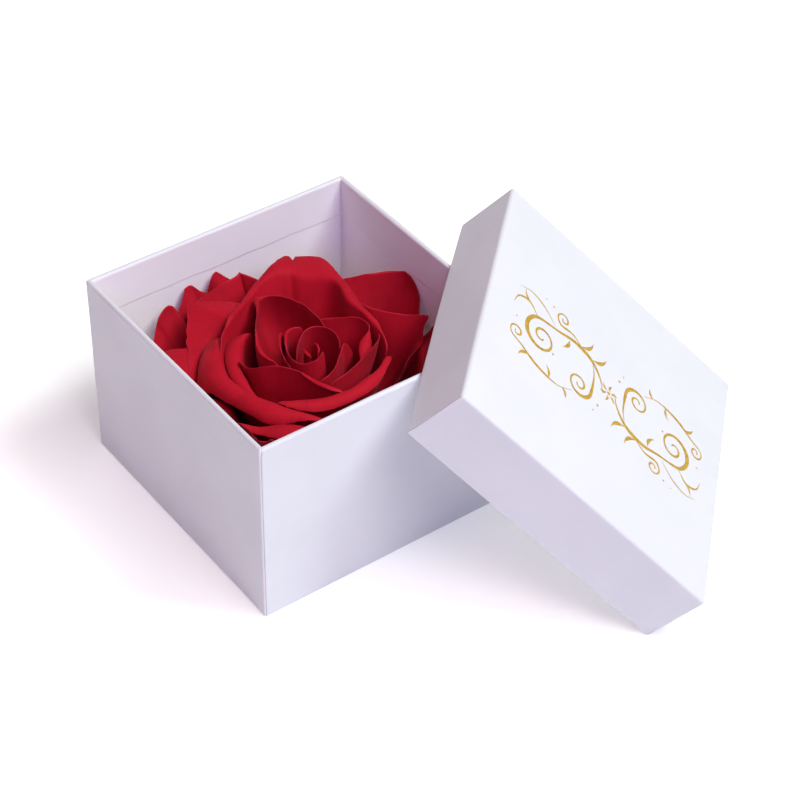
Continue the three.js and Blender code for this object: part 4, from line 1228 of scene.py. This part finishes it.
def gold_foil(foil):
    """Hot-stamped metal foil with a fine uneven grain."""
    material, tree, shader, place = new_material("Gold foil")
    patches = noise(tree, place, scale=700, detail=4)
    grain = noise(tree, place, scale=4200, detail=3)
    dull = ramp(tree, patches, low=0.4, high=0.7)
    colour = mixed(tree, dull, opaque(foil.colour), opaque(foil.colour, shade=0.72))
    # Painted reflection: with metallic only 0.4, most of the foil's gold is diffuse colour, standing in for
    # the bright studio that the real foil mirrors
    finish_shader(tree, shader, colour, gloss=(patches, 0.4, 0.58), relief=(grain, 0.15, 0.00004),
                  metallic=0.4, specular_ior_level=0.15)
    return material


def pale_floor(stage):
    """Plain pale floor, very slightly mottled."""
    material, tree, shader, place = new_material("Pale floor")
    mottles = noise(tree, place, scale=3, detail=2)
    colour = mixed(tree, mottles, opaque(stage.floor_colour), opaque(stage.floor_colour, shade=0.99))
    finish_shader(tree, shader, colour, roughness=0.9, specular_ior_level=0.1,
                  emission_color=opaque(stage.floor_glow), emission_strength=1.0)
    return material


# Operators

class ROSEBOX_OT_box(bpy.types.Operator):
    """Make the open box with its wrapped walls"""
    bl_idname = "rosebox.box"
    bl_label = "Box"

    def execute(self, context):
        paper = context.scene.rosebox_paper
        piece = tray_piece("paper_box", paper, paper.box_side, paper.box_height, seed=11, groove=0.12,
                           bow=0, face_clean=0)
        hand_over(piece, "white_paper", "box_base")
        return {"FINISHED"}


class ROSEBOX_OT_lid(bpy.types.Operator):
    """Make the lid that leans on the box's corner"""
    bl_idname = "rosebox.lid"
    bl_label = "Lid"

    def execute(self, context):
        paper = context.scene.rosebox_paper
        piece = tray_piece("paper_lid", paper, paper.lid_side, paper.lid_height, seed=12, groove=0.09,
                           bow=0.7, face_clean=0.2)
        piece.data.transform(lid_matrix(paper))
        hand_over(piece, "white_paper", "lid")
        return {"FINISHED"}


class ROSEBOX_OT_ornament(bpy.types.Operator):
    """Press the foil scrollwork on the lid's face"""
    bl_idname = "rosebox.ornament"
    bl_label = "Foil ornament"

    def execute(self, context):
        scene = context.scene
        foil, paper = scene.rosebox_foil, scene.rosebox_paper
        strokes, dots = ornament_lines()
        piece = run_tree("foil_ornament", foil_tree(), guide_mesh("foil_lines", strokes, dots), {
            "Stroke": foil.stroke, "Flatness": foil.thickness / MM, "Facets": foil.facets,
            "Material": gold_foil(foil)})
        # the ornament's plane has its own X down the lid's slope and its Y across it, facing out of the lid
        x, y = ORNAMENT_PLACE
        plane = Matrix(((0, 1, 0, x), (1, 0, 0, y), (0, 0, -1, -FOIL_RAISED), (0, 0, 0, 1)))
        piece.data.transform(lid_matrix(paper) @ Matrix.Scale(MM, 4) @ plane)
        hand_over(piece, "gold_foil")
        return {"FINISHED"}


class ROSEBOX_OT_receptacle(bpy.types.Operator):
    """Make the receptacle and the short stem under the petals"""
    bl_idname = "rosebox.receptacle"
    bl_label = "Receptacle"

    def execute(self, context):
        scene = context.scene
        foot = scene.rosebox_paper.board / MM + GROUND_CLEARANCE
        neck = foot + STEM_LENGTH
        levels = [(foot, STEM_RADIUS - STEM_BEVEL), (foot + STEM_BEVEL, STEM_RADIUS), (neck, STEM_RADIUS),
                  (neck + NECK_LENGTH, NECK_RADIUS)]
        for turn in np.radians(np.linspace(HIP_LOWEST, HIP_HIGHEST, HIP_STEPS)):
            levels.append((HIP_HEIGHT + HIP_RADIUS * math.sin(turn), HIP_RADIUS * math.cos(turn)))
        line = [(ROSE_AXIS[0], ROSE_AXIS[1], level) for level, _ in levels]
        guide = guide_mesh("stalk_line", [(line, [radius for _, radius in levels])])
        piece = run_tree("rose_receptacle", stalk_tree(), guide, {
            "Girth": 1.0, "Facets": STEM_FACETS, "Material": dried_green(scene.rosebox_rose)})
        piece.data.transform(Matrix.Scale(MM, 4))
        hand_over(piece, "rose_green", "receptacle")
        return {"FINISHED"}


class ROSEBOX_OT_petals(bpy.types.Operator):
    """Grow the petals from the heart outwards"""
    bl_idname = "rosebox.petals"
    bl_label = "Petals"

    def execute(self, context):
        scene = context.scene
        velvet = velvet_petal(scene.rosebox_rose)
        for name in PETALS:
            piece = petal_piece(name, scene.rosebox_rose, scene.rosebox_paper, velvet)
            hand_over(piece, "rose_petal", name)
        return {"FINISHED"}


class ROSEBOX_OT_stage(bpy.types.Operator):
    """Set the floor, the light and the camera"""
    bl_idname = "rosebox.stage"
    bl_label = "Stage"

    def execute(self, context):
        scene = context.scene
        stage = scene.rosebox_stage
        half = stage.floor_side / 2
        mesh = bpy.data.meshes.new("floor")
        mesh.from_pydata([(-half, -half, 0), (half, -half, 0), (half, half, 0), (-half, half, 0)], [],
                         [(0, 1, 2, 3)])
        mesh.materials.append(pale_floor(stage))
        floor = new_object("floor", mesh)

        world = bpy.data.worlds.new("Soft studio")
        world.use_nodes = True
        world.node_tree.nodes["Background"].inputs["Strength"].default_value = WORLD_LIGHT
        scene.world = world

        for name, (toward, distance, side, radiance) in LAMPS.items():
            light = bpy.data.lights.new(name, "AREA")
            light.shape = "SQUARE"
            light.size = side
            brightest = max(radiance)
            light.color = [value / brightest for value in radiance]
            light.energy = stage.light * math.pi * side ** 2 * brightest
            lamp = new_object(name, light)
            toward = Vector(toward).normalized()
            lamp.location = toward * distance
            lamp.rotation_euler = toward.to_track_quat("Z", "Y").to_euler()

        camera = bpy.data.cameras.new("camera")
        camera.lens, camera.sensor_width = CAMERA_LENS, CAMERA_SENSOR
        camera.clip_start, camera.clip_end = CAMERA_NEAR, CAMERA_FAR
        viewer = new_object("camera", camera)
        viewer.location = CAMERA_PLACE
        viewer.rotation_euler = [math.radians(angle) for angle in CAMERA_TURN]
        scene.camera = viewer
        scene.view_settings.view_transform = "Standard"
        return {"FINISHED"}


class ROSEBOX_PT_panel(bpy.types.Panel):
    """The pieces of the rose box, in the order in which they are made"""
    bl_label = "Rose box"
    bl_space_type = "VIEW_3D"
    bl_region_type = "UI"
    bl_category = "Rose box"

    def draw(self, context):
        for title in ("rosebox_paper", "rosebox_rose", "rosebox_foil", "rosebox_stage"):
            box = self.layout.box()
            settings = getattr(context.scene, title)
            for key in type(settings).__annotations__:
                box.prop(settings, key)
        for operator in OPERATORS:
            self.layout.operator(operator.bl_idname)


SETTINGS = {
    "rosebox_paper": PaperSettings, "rosebox_rose": RoseSettings, "rosebox_foil": FoilSettings,
    "rosebox_stage": StageSettings,
}
OPERATORS = (ROSEBOX_OT_box, ROSEBOX_OT_lid, ROSEBOX_OT_ornament, ROSEBOX_OT_receptacle, ROSEBOX_OT_petals,
             ROSEBOX_OT_stage)


def register():
    for title, group in SETTINGS.items():
        bpy.utils.register_class(group)
        setattr(bpy.types.Scene, title, PointerProperty(type=group))
    for operator in OPERATORS:
        bpy.utils.register_class(operator)
    bpy.utils.register_class(ROSEBOX_PT_panel)


def unregister():
    bpy.utils.unregister_class(ROSEBOX_PT_panel)
    for operator in reversed(OPERATORS):
        bpy.utils.unregister_class(operator)
    for title, group in reversed(SETTINGS.items()):
        delattr(bpy.types.Scene, title)
        bpy.utils.unregister_class(group)


def main():
    register()
    bpy.ops.rosebox.box()
    bpy.ops.rosebox.lid()
    bpy.ops.rosebox.ornament()
    bpy.ops.rosebox.receptacle()
    bpy.ops.rosebox.petals()
    bpy.ops.rosebox.stage()


if __name__ == "__main__":
    main()
